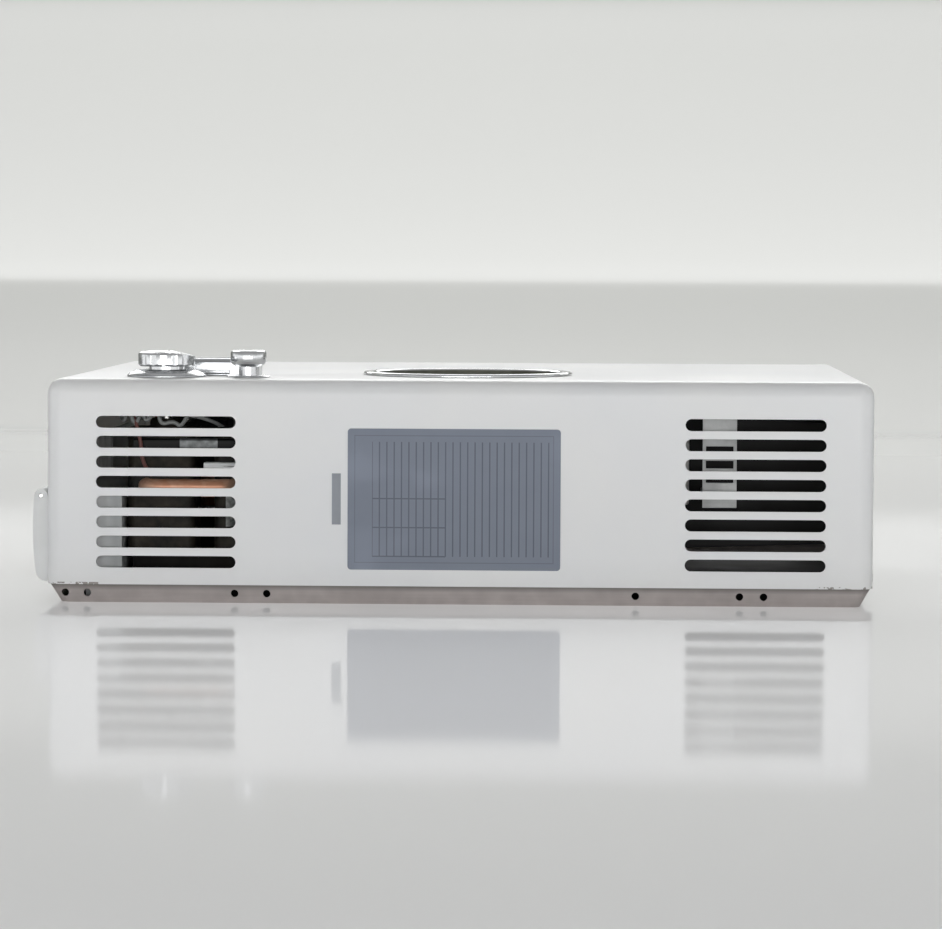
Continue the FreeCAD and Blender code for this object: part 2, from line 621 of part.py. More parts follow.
def door_outline(grow, inner_x):
    """The door's side view: a bulged cap, closed by a barrel round the pin, drawn in the plane of its near end."""
    low = BOX_LOW_Z + grow
    high = DOOR_PIN_Z + DOOR_BARREL_RADIUS - grow
    barrel_x = DOOR_PIN_X - DOOR_BARREL_RADIUS + grow
    y = BOX_Y0

    def at(x, z):
        return Vector(x, y, z)
    chin = at(barrel_x + 0.6, low + 4.0)
    bulge = Part.Arc(chin, at(BOX_X0 + grow, (low + high) / 2), at(barrel_x, DOOR_PIN_Z))
    diagonal = math.sqrt(0.5) * (DOOR_BARREL_RADIUS - grow)
    barrel = Part.Arc(at(barrel_x, DOOR_PIN_Z), at(DOOR_PIN_X - diagonal, DOOR_PIN_Z + diagonal),
                      at(DOOR_PIN_X, high))
    back = Part.Arc(at(DOOR_PIN_X, high), at(DOOR_PIN_X + diagonal, DOOR_PIN_Z + diagonal),
                    at(DOOR_PIN_X + DOOR_BARREL_RADIUS - grow, DOOR_PIN_Z))
    lines = [Part.LineSegment(at(DOOR_PIN_X + DOOR_BARREL_RADIUS - grow, DOOR_PIN_Z), at(inner_x, DOOR_PIN_Z - 0.5)),
             Part.LineSegment(at(inner_x, DOOR_PIN_Z - 0.5), at(inner_x, low)),
             Part.Arc(at(inner_x, low), at(barrel_x + 2.0, low + 1.2), chin)]
    return Part.Face(Part.Wire([piece.toShape() for piece in [bulge, barrel, back] + lines]))


def battery_door():
    """A hollow cap that swings on the pin, with a snap latch at its lower edge and three finger ribs."""
    inner_x = BOX_MOUTH_X - DOOR_GAP - 0.1
    cap = door_outline(0, inner_x).extrude(Vector(0, BOX_Y1 - BOX_Y0, 0))
    pocket = box(BOX_X0 + DOOR_BULGE + DOOR_WALL, inner_x + 1, BOX_Y0 + DOOR_WALL, BOX_Y1 - DOOR_WALL,
                 BOX_LOW_Z + DOOR_WALL + 1.5, DOOR_PIN_Z - DOOR_BARREL_RADIUS - DOOR_GAP)
    cap = cap.cut(pocket)
    for y in ear_places():
        cap = cap.cut(box(BOX_X0 - 1, BOX_MOUTH_X + 1, y - DOOR_GAP, y + EAR - DOOR_GAP,
                          DOOR_PIN_Z - DOOR_BARREL_RADIUS - DOOR_GAP, BOX_TOP_Z + 1))
    middle = (BOX_Y0 + BOX_Y1) / 2
    catch_z = BOX_LOW_Z + BOX_WALL + DOOR_GAP
    latch = box(BOX_X0 + DOOR_BULGE + 1, BOX_MOUTH_X + 3, middle - 8, middle + 8, catch_z, catch_z + 1.6)
    ribs = [box(BOX_X0 + 0.2, BOX_X0 + 2.5, middle - 12, middle + 12, BOX_LOW_Z + z, BOX_LOW_Z + z + 1.0)
            for z in (7.0, 9.5, 12.0)]
    door = cap.multiFuse([latch] + ribs).removeSplitter()
    return door.cut(rod(DOOR_PIN_RADIUS + DOOR_PIN_GAP, (DOOR_PIN_X, BOX_Y0, DOOR_PIN_Z), (0, 1, 0), BOX_LENGTH))


def battery_door_pin():
    return rod(DOOR_PIN_RADIUS, (DOOR_PIN_X, BOX_Y0 + 0.5, DOOR_PIN_Z), (0, 1, 0), BOX_LENGTH - 1)


CELL_X = BOX_IN_X - BOX_WALL - CELL_GAP - CELL_RADIUS
CELL_Z = BOX_LOW_Z + BOX_WALL + CELL_GAP + CELL_RADIUS


def battery_cells():
    """Two D cells end to end, each with its positive stud."""
    cells = []
    for i in range(2):
        start = BOX_Y0 + BOX_WALL + CONTACT_ROOM + i * (CELL_LENGTH + CELL_GAP)
        profile = [(0, 0), (CELL_RADIUS - 1, 0), (CELL_RADIUS, 1), (CELL_RADIUS, CELL_LENGTH - 2.5),
                   (CELL_RADIUS - 1, CELL_LENGTH - 1.5), (4.7, CELL_LENGTH - 1.5), (4.7, CELL_LENGTH), (0, CELL_LENGTH)]
        cells.append(turned(profile, (CELL_X, start, CELL_Z), (0, 1, 0)))
    return Part.makeCompound(cells)


def battery_contacts():
    """A spring cone at the near end and a flat tab at the far end."""
    near = BOX_Y0 + BOX_WALL
    far = BOX_Y1 - BOX_WALL
    cone = [(0, 0), (9, 0), (9, 0.6), (5, CONTACT_ROOM - CELL_GAP), (0, CONTACT_ROOM - CELL_GAP)]
    stud = [(0, 0), (8, 0), (8, 0.6), (4, CONTACT_ROOM - 2 * CELL_GAP), (0, CONTACT_ROOM - 2 * CELL_GAP)]
    return Part.makeCompound([turned(cone, (CELL_X, near, CELL_Z), (0, 1, 0)),
                              turned(stud, (CELL_X, far, CELL_Z), (0, -1, 0))])


# Fittings at the bottom end
def fitting_plate():
    """A folded plate behind the opening in the bottom end, with a foot on the pan and a wing by the battery box."""
    x0, x1 = FITTING_PLATE_X, FITTING_PLATE_X + FITTING_PLATE_WALL
    plate = box(x0, x1, BOX_Y1 + 3, HOT_Y + 22, PAN_WALL, FITTING_PLATE_TOP)
    foot = box(x0, x0 + 14, BOX_Y1 + 3, HOT_Y + 22, PAN_WALL, PAN_WALL + FITTING_PLATE_WALL)
    wing = box(-IN_X + REST_GAP, x1, BOX_Y1 + 3, BOX_Y1 + 3 + FITTING_PLATE_WALL, PAN_WALL + 14, FITTING_PLATE_TOP)
    sheet = plate.multiFuse([foot, wing]).removeSplitter()
    for y, radius in ((GAS_Y, GAS_THREAD_RADIUS), (COLD_Y, WATER_THREAD_RADIUS), (HOT_Y, WATER_THREAD_RADIUS)):
        sheet = sheet.cut(rod(radius + THREAD_GAP, (x0 - 1, y, FITTING_Z), (1, 0, 0), 4))
    return sheet


def fitting(y, thread, bore, flare):
    """A union through the plate: hexagon and tail inside, a relieved neck in the nut, thread outside."""
    out_x = -END_X - FITTING_OUT
    inside = FITTING_PLATE_X + FITTING_PLATE_WALL - out_x
    relief = FITTING_PLATE_X - NUT_THICKNESS - 0.5 - out_x
    neck = thread - THREAD_RELIEF
    threaded = turned([(0, 0), (thread - flare, 0), (thread, flare), (thread, relief), (neck, relief),
                       (neck, inside), (0, inside)], (out_x, y, FITTING_Z), (1, 0, 0))
    flange = hexagon(2 * thread + 5, (out_x + inside, y, FITTING_Z), (1, 0, 0), FLANGE_THICKNESS)
    tail = rod(thread - 1.5, (out_x + inside + FLANGE_THICKNESS, y, FITTING_Z), (1, 0, 0), FITTING_TAIL)
    hole = rod(bore, (out_x - 1, y, FITTING_Z), (1, 0, 0), inside + FLANGE_THICKNESS - 1)
    return threaded.multiFuse([flange, tail]).removeSplitter().cut(hole)


def lock_nuts():
    nuts = []
    for y, thread in ((GAS_Y, GAS_THREAD_RADIUS), (COLD_Y, WATER_THREAD_RADIUS), (HOT_Y, WATER_THREAD_RADIUS)):
        start = (FITTING_PLATE_X - NUT_THICKNESS, y, FITTING_Z)
        nut = hexagon(2 * thread + 6, start, (1, 0, 0), NUT_THICKNESS)
        nuts.append(nut.cut(rod(thread - THREAD_RELIEF + THREAD_GAP, start, (1, 0, 0), NUT_THICKNESS)))
    return Part.makeCompound(nuts)


TAIL_X = FITTING_PLATE_X + FITTING_PLATE_WALL + FLANGE_THICKNESS + FITTING_TAIL


# Valves
def valve_block(x0, x1):
    block = box(x0, x1, VALVE_NEAR_Y, FAR_VALVE_Y, VALVE_LOW_Z, VALVE_TOP_Z)
    return rounded(block, VALVE_EDGE, lambda edge: along(edge, (0, 0, 1)))


def spindle_bore(x):
    return rod(SPINDLE_RADIUS + SPINDLE_GAP, (x, KNOB_Y, VALVE_TOP_Z - SPINDLE_DEPTH), (0, 0, 1), SPINDLE_DEPTH + 1)


def gas_valve_body():
    body = valve_block(GAS_VALVE_X0, GAS_VALVE_X1)
    body = body.fuse(rod(7.5, (GAS_KNOB_X, KNOB_Y, VALVE_TOP_Z - 1), (0, 0, 1), 5)).removeSplitter()
    chamber = rod(CHAMBER_RADIUS, (GAS_VALVE_X0 - 1, KNOB_Y, ROD_Z), (1, 0, 0), CHAMBER_X1 - GAS_VALVE_X0 + 1)
    guide = rod(ROD_RADIUS + ROD_GAP, (CHAMBER_X1 - 1, KNOB_Y, ROD_Z), (1, 0, 0), 10)
    bore = rod(SPINDLE_RADIUS + SPINDLE_GAP, (GAS_KNOB_X, KNOB_Y, VALVE_TOP_Z - SPINDLE_DEPTH), (0, 0, 1), 40)
    return body.cut(chamber).cut(guide).cut(bore)


def gas_valve_plug():
    return rod(CHAMBER_RADIUS, (GAS_VALVE_X0, KNOB_Y, ROD_Z), (1, 0, 0), PLUG_THICKNESS)


ROD_TIP_X = CHAMBER_X1 - 1.5
POPPET_X1 = ROD_TIP_X - REST_GAP


def gas_poppet():
    """A disc with a stem that guides the spring, moved by the push rod."""
    disc = rod(POPPET_RADIUS, (POPPET_X1 - POPPET_THICKNESS, KNOB_Y, ROD_Z), (1, 0, 0), POPPET_THICKNESS)
    stem = rod(2.5, (POPPET_X1 - POPPET_THICKNESS - 5, KNOB_Y, ROD_Z), (1, 0, 0), 5)
    return disc.fuse(stem).removeSplitter()


def poppet_spring():
    x0 = GAS_VALVE_X0 + PLUG_THICKNESS
    x1 = POPPET_X1 - POPPET_THICKNESS
    return tube(5.0, 3.2, (x0, KNOB_Y, ROD_Z), (1, 0, 0), x1 - x0 - 0.1)


DIAPHRAGM_X0 = WATER_VALVE_X1 - DIAPHRAGM_THICKNESS
PLATE_X1 = DIAPHRAGM_X0 - REST_GAP


def push_rod():
    """The rod with its diaphragm plate: water pressure moves it towards the gas valve."""
    plate = rod(DIAPHRAGM_RADIUS - 3, (PLATE_X1 - 2.5, KNOB_Y, ROD_Z), (1, 0, 0), 2.5)
    shaft = rod(ROD_RADIUS, (ROD_TIP_X, KNOB_Y, ROD_Z), (1, 0, 0), PLATE_X1 - 2.5 - ROD_TIP_X)
    return plate.fuse(shaft).removeSplitter()


def water_valve_body():
    body = valve_block(WATER_VALVE_X0, WATER_VALVE_X1)
    body = body.fuse(rod(7.0, (FLOW_KNOB_X, KNOB_Y, VALVE_TOP_Z - 1), (0, 0, 1), 5)).removeSplitter()
    seat = rod(DIAPHRAGM_RADIUS, (DIAPHRAGM_X0, KNOB_Y, ROD_Z), (1, 0, 0), 5)
    room = rod(DIAPHRAGM_RADIUS - 2, (DIAPHRAGM_X0 - DIAPHRAGM_ROOM, KNOB_Y, ROD_Z), (1, 0, 0), 12)
    guide = rod(ROD_RADIUS + ROD_GAP, (WATER_VALVE_X0 - 1, KNOB_Y, ROD_Z), (1, 0, 0), 25)
    bore = rod(SPINDLE_RADIUS + SPINDLE_GAP, (FLOW_KNOB_X, KNOB_Y, VALVE_TOP_Z - SPINDLE_DEPTH), (0, 0, 1), 40)
    return body.cut(seat).cut(room).cut(guide).cut(bore)


def diaphragm():
    return rod(DIAPHRAGM_RADIUS, (DIAPHRAGM_X0, KNOB_Y, ROD_Z), (1, 0, 0), DIAPHRAGM_THICKNESS)


def diaphragm_cover():
    flange = rod(DIAPHRAGM_RADIUS + 2, (WATER_VALVE_X1, KNOB_Y, ROD_Z), (1, 0, 0), 2)
    dome = rod(DIAPHRAGM_RADIUS - 3, (WATER_VALVE_X1, KNOB_Y, ROD_Z), (1, 0, 0), DIAPHRAGM_COVER)
    return flange.fuse(dome).removeSplitter()


def valve_bracket():
    """A folded stool on the pan that carries both valves."""
    x0, x1 = GAS_VALVE_X0 + 2, WATER_VALVE_X1 - 2
    y0, y1 = VALVE_NEAR_Y + 5, FAR_VALVE_Y - 5
    outer = box(x0, x1, y0, y1, PAN_WALL, VALVE_LOW_Z)
    inner = box(x0 - 1, x1 + 1, y0 + 1.2, y1 - 1.2, PAN_WALL - 1, VALVE_LOW_Z - 1.2)
    return outer.cut(inner)


def valve_tie_bar():
    y1 = VALVE_NEAR_Y
    bar = box(GAS_VALVE_X0 + 3, WATER_VALVE_X1 - 3, y1 - TIE_BAR_THICKNESS, y1,
              TIE_BAR_Z - TIE_BAR_HEIGHT / 2, TIE_BAR_Z + TIE_BAR_HEIGHT / 2)
    return rounded(bar, 1.2, lambda edge: along(edge, (1, 0, 0)) and edge.CenterOfMass.y < y1 - 1)


def gas_solenoid():
    coil = rod(SOLENOID_RADIUS, (GAS_KNOB_X, FAR_VALVE_Y, SOLENOID_Z), (0, 1, 0), SOLENOID_LENGTH)
    core = rod(SOLENOID_RADIUS * 0.4, (GAS_KNOB_X, FAR_VALVE_Y + SOLENOID_LENGTH, SOLENOID_Z), (0, 1, 0), 4)
    return coil.fuse(core).removeSplitter()


def micro_switch():
    """A switch on the water valve's far face, with three solder tabs."""
    x0 = WATER_VALVE_X1 - 4 - SWITCH_LENGTH
    far = FAR_VALVE_Y + SWITCH_DEPTH
    case = box(x0, x0 + SWITCH_LENGTH, FAR_VALVE_Y, far, SWITCH_Z - SWITCH_HEIGHT / 2, SWITCH_Z + SWITCH_HEIGHT / 2)
    tabs = []
    for i in range(3):
        x = x0 + SWITCH_LENGTH * (i + 0.5) / 3
        tabs.append(box(x - 1.5, x + 1.5, far, far + 6, SWITCH_Z - 0.4, SWITCH_Z + 0.4))
    return case.multiFuse(tabs).removeSplitter()


# Burner, exchanger and flue
def channel(x0, x1, half_width):
    """A sheet duct, open at both ends in X, whose sides run down to feet on the pan."""
    duct = box(x0, x1, -half_width, half_width, CHAMBER_LOW_Z, CHAMBER_TOP_Z)
    duct = duct.cut(box(x0 - 1, x1 + 1, -half_width + SHEET, half_width - SHEET,
                        CHAMBER_LOW_Z + SHEET, CHAMBER_TOP_Z - SHEET))
    legs = []
    for side in (-1, 1):
        ys = sorted((side * half_width, side * (half_width - SHEET)))
        legs.append(box(x0 + 6, x1 - 6, ys[0], ys[1], PAN_WALL, CHAMBER_LOW_Z))
        ys = sorted((side * half_width, side * (half_width + FOOT_WIDTH)))
        legs.append(box(x0 + 6, x1 - 6, ys[0], ys[1], PAN_WALL, PAN_WALL + SHEET))
    return duct.multiFuse(legs).removeSplitter()


ELECTRODE_X = BURNER_X1 - 9
ELECTRODE_Y = 80.0
SENSOR_Y = 62.0
ELECTRODE_RADIUS = 3.0


def burner_box():
    duct = channel(BURNER_X0, BURNER_X1, CHAMBER_HALF_WIDTH)
    for y in (SENSOR_Y, ELECTRODE_Y):
        duct = duct.cut(rod(ELECTRODE_RADIUS + THREAD_GAP, (ELECTRODE_X, y, CHAMBER_TOP_Z - 3),
                            (0, 0, 1), 6))
    return duct


def electrode(y):
    """A ceramic body with a collar on the burner box, and a bent-wire tip below."""
    at = (ELECTRODE_X, y, CHAMBER_TOP_Z)
    profile = [(0, -12), (1, -12), (1, -5), (ELECTRODE_RADIUS, -4), (ELECTRODE_RADIUS, 0), (5.5, 0), (5.5, 1.5),
               (ELECTRODE_RADIUS, 1.5), (ELECTRODE_RADIUS, 9), (1.2, 9.5), (1.2, 12), (0, 12)]
    return turned(profile, at)


def bar_places():
    return [(i - (BURNER_BARS - 1) / 2) * BURNER_PITCH for i in range(BURNER_BARS)]


def burner_bars():
    """Upright flame bars on the burner box's floor, each with a mouth that faces its injector."""
    bars = []
    low = CHAMBER_LOW_Z + SHEET
    for y in bar_places():
        bar = box(BURNER_X0 + BURNER_BAR_INSET, BURNER_X1 - BURNER_BAR_SHORT, y - BURNER_BAR_WIDTH / 2,
                  y + BURNER_BAR_WIDTH / 2, low, low + BURNER_BAR_HEIGHT)
        upright = [edge for edge in bar.Edges if along(edge, (0, 0, 1))]
        bar = bar.makeChamfer(BURNER_BAR_WIDTH / 3, upright)
        bars.append(bar.cut(hexagon(2 * MOUTH_RADIUS, (BURNER_X0, y, MANIFOLD_Z), (1, 0, 0), BURNER_BAR_HEIGHT / 2)))
    return Part.makeCompound(bars)


def gas_manifold():
    """A rail behind the injectors, whose two arms meet the burner box's side walls."""
    half = MANIFOLD_SIZE / 2
    end = bar_places()[-1] + MANIFOLD_SIZE
    rail = box(MANIFOLD_X - half, MANIFOLD_X + half, -end, end, MANIFOLD_Z - half, MANIFOLD_Z + half)
    rail = rounded(rail, 2.5, lambda edge: along(edge, (0, 1, 0)))
    arms = []
    for side in (-1, 1):
        ys = sorted((side * (end - 3), side * CHAMBER_HALF_WIDTH))
        arms.append(box(BURNER_X0 - 2, BURNER_X0, ys[0], ys[1], MANIFOLD_Z - 4, MANIFOLD_Z + 4))
        ys = sorted((side * (end - 3), side * end))
        arms.append(box(MANIFOLD_X, BURNER_X0 - 2, ys[0], ys[1], MANIFOLD_Z - 4, MANIFOLD_Z + 4))
    return rail.multiFuse(arms).removeSplitter()


def gas_injectors():
    """Hexagonal jets on the rail, each with its nose in a flame bar's mouth."""
    start = MANIFOLD_X + MANIFOLD_SIZE / 2
    reach = BURNER_X0 + BURNER_BAR_INSET - 0.5 - start
    injectors = []
    for y in bar_places():
        body = hexagon(2.2 * MOUTH_RADIUS, (start, y, MANIFOLD_Z), (1, 0, 0), reach * 0.5)
        nose = hexagon(1.4 * MOUTH_RADIUS, (start, y, MANIFOLD_Z), (1, 0, 0), reach)
        injectors.append(body.fuse(nose))
    return Part.makeCompound(injectors)


def heat_exchanger_shell():
    return channel(BURNER_X1, EXCHANGER_X1, CHAMBER_HALF_WIDTH)


def exchanger_fins():
    """Thin fins across the gas flow, threaded on a water tube that ends at the shell's sides."""
    end = CHAMBER_HALF_WIDTH - SHEET
    low, top = CHAMBER_LOW_Z + SHEET, CHAMBER_TOP_Z - SHEET
    pitch = 2 * (end - 6) / (FIN_COUNT - 1)
    fins = []
    for i in range(FIN_COUNT):
        y = -(end - 6) + i * pitch
        fins.append(box(FIN_X0, EXCHANGER_X1 - 3, y - FIN_THICKNESS / 2, y + FIN_THICKNESS / 2, low, top))
    middle = (FIN_X0 + EXCHANGER_X1 - 3) / 2
    tube_z = FITTING_Z
    return rod(FIN_TUBE_RADIUS, (middle, -end, tube_z), (0, 1, 0), 2 * end).multiFuse(fins)


def overheat_switch():
    at = (5, CHAMBER_HALF_WIDTH, 60)
    profile = [(0, 0), (9, 0), (9, 1), (7, 1), (7, 6), (0, 6)]
    return turned(profile, at, (0, 1, 0))


def heat_shield():
    """A sheet on top of the exchanger, dished clear of the window."""
    sheet = box(SHIELD_X0, EXCHANGER_X1 - 2, -CHAMBER_HALF_WIDTH + 4, CHAMBER_HALF_WIDTH - 4,
                CHAMBER_TOP_Z, CHAMBER_TOP_Z + SHEET)
    holes = [rod(4, (SHIELD_X0 + 12, side * 70, CHAMBER_TOP_Z - 1), (0, 0, 1), 4) for side in (-1, 1)]
    return sheet.cut(Part.makeCompound(holes))


GRILLE_X0 = IN_X - SHEET


def hood_outline(x, half_width, low, top):
    return Part.makePolygon([Vector(x, -half_width, low), Vector(x, half_width, low), Vector(x, half_width, top),
                             Vector(x, -half_width, top), Vector(x, -half_width, low)])


def hood_solid(grow, reach):
    """The flue hood's outer surface, or its inner one a sheet smaller and a little longer."""
    first = hood_outline(EXCHANGER_X1 - reach, CHAMBER_HALF_WIDTH - grow, CHAMBER_LOW_Z + grow, CHAMBER_TOP_Z - grow)
    last = hood_outline(GRILLE_X0 + reach, FLUE_HALF_WIDTH + 3 - grow, FLUE_LOW_Z - 3 + grow, FLUE_TOP_Z + 3 - grow)
    return Part.makeLoft([first, last], True, True)


def flue_hood():
    hood = hood_solid(0, 0).cut(hood_solid(SHEET, 0.001))
    return hood


def flue_grille():
    """The grille behind the opening in the top end: upright slots in a sheet."""
    half = FLUE_HALF_WIDTH + GRILLE_EDGE
    sheet = box(GRILLE_X0, IN_X, -half, half, FLUE_LOW_Z - GRILLE_EDGE, FLUE_TOP_Z + GRILLE_EDGE)
    pitch = 2 * FLUE_HALF_WIDTH / GRILLE_BARS
    gaps = []
    for i in range(GRILLE_BARS):
        y = -FLUE_HALF_WIDTH + (i + 0.5) * pitch
        gap = box(GRILLE_X0 - 1, IN_X + 1, y - pitch * 0.36, y + pitch * 0.36, FLUE_LOW_Z + 3, FLUE_TOP_Z - 3)
        gaps.append(rounded(gap, pitch * 0.3, lambda edge: along(edge, (1, 0, 0))))
    return sheet.cut(Part.makeCompound(gaps))


def hood_bracket():
    """A steel strip with three holes behind the top-end vents, held to the flue hood by an arm."""
    x0, x1 = BRACKET_X0, BRACKET_X0 + BRACKET_WIDTH
    strip = box(x0, x1, BRACKET_Y, BRACKET_Y + BRACKET_WALL, BRACKET_LOW_Z, BRACKET_TOP_Z)
    arm = box(x0, x1, BRACKET_Y, 0, BRACKET_ARM_Z, BRACKET_ARM_Z + BRACKET_WALL)
    strip = strip.fuse(arm).removeSplitter().cut(hood_solid(0, 0))
    strip = max(strip.Solids, key=lambda solid: solid.Volume)
    half = BRACKET_HOLE_HEIGHT / 2
    for z in BRACKET_HOLES_Z:
        strip = strip.cut(box(x0 + BRACKET_HOLE_EDGE, x1 - BRACKET_HOLE_EDGE, BRACKET_Y - 1, BRACKET_Y + 2,
                              z - half, z + half))
    return strip


def igniter_module():
    """The control unit: an upright case on the pan with a row of terminals on its inner face."""
    y1 = SIDE_Y - IGNITER_FROM_SIDE
    y0 = y1 - IGNITER_DEPTH
    x1 = IGNITER_X0 + IGNITER_LENGTH
    top = PAN_WALL + IGNITER_HEIGHT
    case = box(IGNITER_X0, x1, y0, y1, PAN_WALL, top)
    case = rounded(case, 2.5, lambda edge: along(edge, (0, 0, 1)))
    pins = []
    for i in range(TERMINALS):
        x = IGNITER_X0 + IGNITER_LENGTH * (i + 0.5) / TERMINALS
        pins.append(box(x - 3, x + 3, y0 - 4, y0, top - 20, top - 12))
    return case.multiFuse(pins).removeSplitter()


# Pipes
def pipes():
    fin_middle = (FIN_X0 + EXCHANGER_X1 - 3) / 2
    feed_x = WATER_VALVE_X1 - FEED_INSET
    feed_y = VALVE_NEAR_Y - FEED_STANDOFF
    rail_x = GAS_VALVE_X1 - GAS_PIPE_RADIUS - 0.5
    rail_y = FAR_VALVE_Y + RAIL_PIPE_RUN
    link_y = VALVE_NEAR_Y - LINK_STANDOFF
    link_x0, link_x1 = GAS_VALVE_X0 + LINK_INSET, WATER_VALVE_X0 + LINK_INSET
    return {
        "gas_pipe": bent_pipe(GAS_PIPE_RADIUS + 1, [
            (TAIL_X, GAS_Y, FITTING_Z), (GAS_KNOB_X, GAS_Y, FITTING_Z), (GAS_KNOB_X, FAR_VALVE_Y, FITTING_Z)],
            GAS_BEND),
        "cold_pipe": bent_pipe(WATER_PIPE_RADIUS, [
            (TAIL_X, COLD_Y, FITTING_Z), (FLOW_KNOB_X, COLD_Y, FITTING_Z), (FLOW_KNOB_X, FAR_VALVE_Y, FITTING_Z)],
            WATER_BEND),
        "hot_pipe": bent_pipe(WATER_PIPE_RADIUS, [
            (TAIL_X, HOT_Y, FITTING_Z), (fin_middle, HOT_Y, FITTING_Z),
            (fin_middle, CHAMBER_HALF_WIDTH, FITTING_Z)], HOT_BEND),
        "exchanger_feed_pipe": bent_pipe(FEED_PIPE_RADIUS, [
            (feed_x, VALVE_NEAR_Y, FEED_Z), (feed_x, feed_y, FEED_Z), (fin_middle, feed_y, FEED_Z),
            (fin_middle, -CHAMBER_HALF_WIDTH, FEED_Z)], FEED_BEND),
        "manifold_pipe": bent_pipe(GAS_PIPE_RADIUS, [
            (rail_x, FAR_VALVE_Y, MANIFOLD_Z), (rail_x, rail_y, MANIFOLD_Z),
            (MANIFOLD_X - MANIFOLD_SIZE / 2, rail_y, MANIFOLD_Z)], RAIL_BEND),
        "valve_link_pipe": bent_pipe(LINK_PIPE_RADIUS, [
            (link_x0, VALVE_NEAR_Y, LINK_Z), (link_x0, link_y, LINK_Z), (link_x1, link_y, LINK_Z),
            (link_x1, VALVE_NEAR_Y, LINK_Z)], LINK_BEND),
    }


def main():
    os.makedirs("parts", exist_ok=True)
    save("front_cover", front_cover())
    save("back_pan", back_pan())
    save("cover_screws", cover_screws())
    save("rating_plate", side_label(PLATE_X, PLATE_Z, PLATE_LENGTH, PLATE_HEIGHT))
    save("side_sticker", side_label(STICKER_X, PLATE_Z, STICKER_WIDTH, STICKER_HEIGHT))
    save("window_ring", window_ring())
    save("window_gasket", window_gasket())
    save("window_glass", window_glass())
    save("gas_knob_skirt", gas_knob_skirt())
    save("gas_knob", gas_knob())
    save("gas_spindle", spindle(GAS_KNOB_X, FRONT_FACE_Z + GAS_SKIRT_HEIGHT + TURN_GAP + GAS_KNOB_CAP - 4))
    save("flow_knob_plate", flow_knob_plate())
    save("flow_knob", flow_knob())
    save("flow_spindle", spindle(FLOW_KNOB_X, FRONT_FACE_Z + FLOW_NECK_HEIGHT + FLOW_KNOB_CAP - 3))
    save("display_bezel", display_bezel())
    save("display_lens", display_lens())
    save("battery_box", battery_box())
    save("battery_door", battery_door())
    save("battery_door_pin", battery_door_pin())
    save("battery_cells", battery_cells())
    save("battery_contacts", battery_contacts())
    save("fitting_plate", fitting_plate())
    save("gas_inlet", fitting(GAS_Y, GAS_THREAD_RADIUS, GAS_BORE_RADIUS, 2.0))
    save("cold_inlet", fitting(COLD_Y, WATER_THREAD_RADIUS, WATER_BORE_RADIUS, 1.0))
    save("hot_outlet", fitting(HOT_Y, WATER_THREAD_RADIUS, WATER_BORE_RADIUS, 1.0))
    save("lock_nuts", lock_nuts())
    save("gas_valve_body", gas_valve_body())
    save("gas_valve_plug", gas_valve_plug())
    save("gas_poppet", gas_poppet())
    save("poppet_spring", poppet_spring())
    save("push_rod", push_rod())
    save("water_valve_body", water_valve_body())
    save("diaphragm", diaphragm())
    save("diaphragm_cover", diaphragm_cover())
    save("valve_bracket", valve_bracket())
    save("valve_tie_bar", valve_tie_bar())
    save("gas_solenoid", gas_solenoid())
    save("micro_switch", micro_switch())
    save("burner_box", burner_box())
    save("burner_bars", burner_bars())
    save("spark_electrode", electrode(ELECTRODE_Y))
    save("flame_sensor", electrode(SENSOR_Y))
    save("gas_manifold", gas_manifold())
    save("gas_injectors", gas_injectors())
    save("heat_exchanger_shell", heat_exchanger_shell())
    save("exchanger_fins", exchanger_fins())
    save("overheat_switch", overheat_switch())
    save("heat_shield", heat_shield())
    save("flue_hood", flue_hood())
    save("flue_grille", flue_grille())
    save("hood_bracket", hood_bracket())
    save("igniter_module", igniter_module())
    for name, shape in pipes().items():
        save(name, shape)


main()
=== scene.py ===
import json
import math

import bmesh
import bpy
from mathutils import Matrix, Vector


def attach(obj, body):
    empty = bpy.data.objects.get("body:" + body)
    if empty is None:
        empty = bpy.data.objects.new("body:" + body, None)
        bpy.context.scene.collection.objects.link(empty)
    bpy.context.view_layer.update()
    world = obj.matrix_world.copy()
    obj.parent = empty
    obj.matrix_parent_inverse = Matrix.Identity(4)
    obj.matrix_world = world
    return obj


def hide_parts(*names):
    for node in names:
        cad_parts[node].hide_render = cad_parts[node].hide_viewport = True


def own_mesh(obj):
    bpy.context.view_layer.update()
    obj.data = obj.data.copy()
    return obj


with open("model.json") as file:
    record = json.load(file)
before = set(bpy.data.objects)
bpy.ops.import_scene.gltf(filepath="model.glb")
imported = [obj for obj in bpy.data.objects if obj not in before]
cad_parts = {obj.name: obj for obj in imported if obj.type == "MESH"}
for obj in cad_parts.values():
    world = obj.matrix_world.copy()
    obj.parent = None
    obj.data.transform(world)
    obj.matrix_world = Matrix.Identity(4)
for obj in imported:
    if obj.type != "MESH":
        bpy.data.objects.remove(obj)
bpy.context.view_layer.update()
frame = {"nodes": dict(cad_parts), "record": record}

# The photograph's view: nearly level with the long side, from a little to the right and just above the
# front face. The camera's place and turns come from matching the heater's corners, at 942 pixels across.
CAMERA_AT = Vector((0.0654, -1.9059, 0.1589))
CAMERA_YAW = math.radians(1.949)
CAMERA_PITCH = math.radians(3.104)
CAMERA_ROLL = math.radians(0.247)
CAMERA_LENS = 150.36

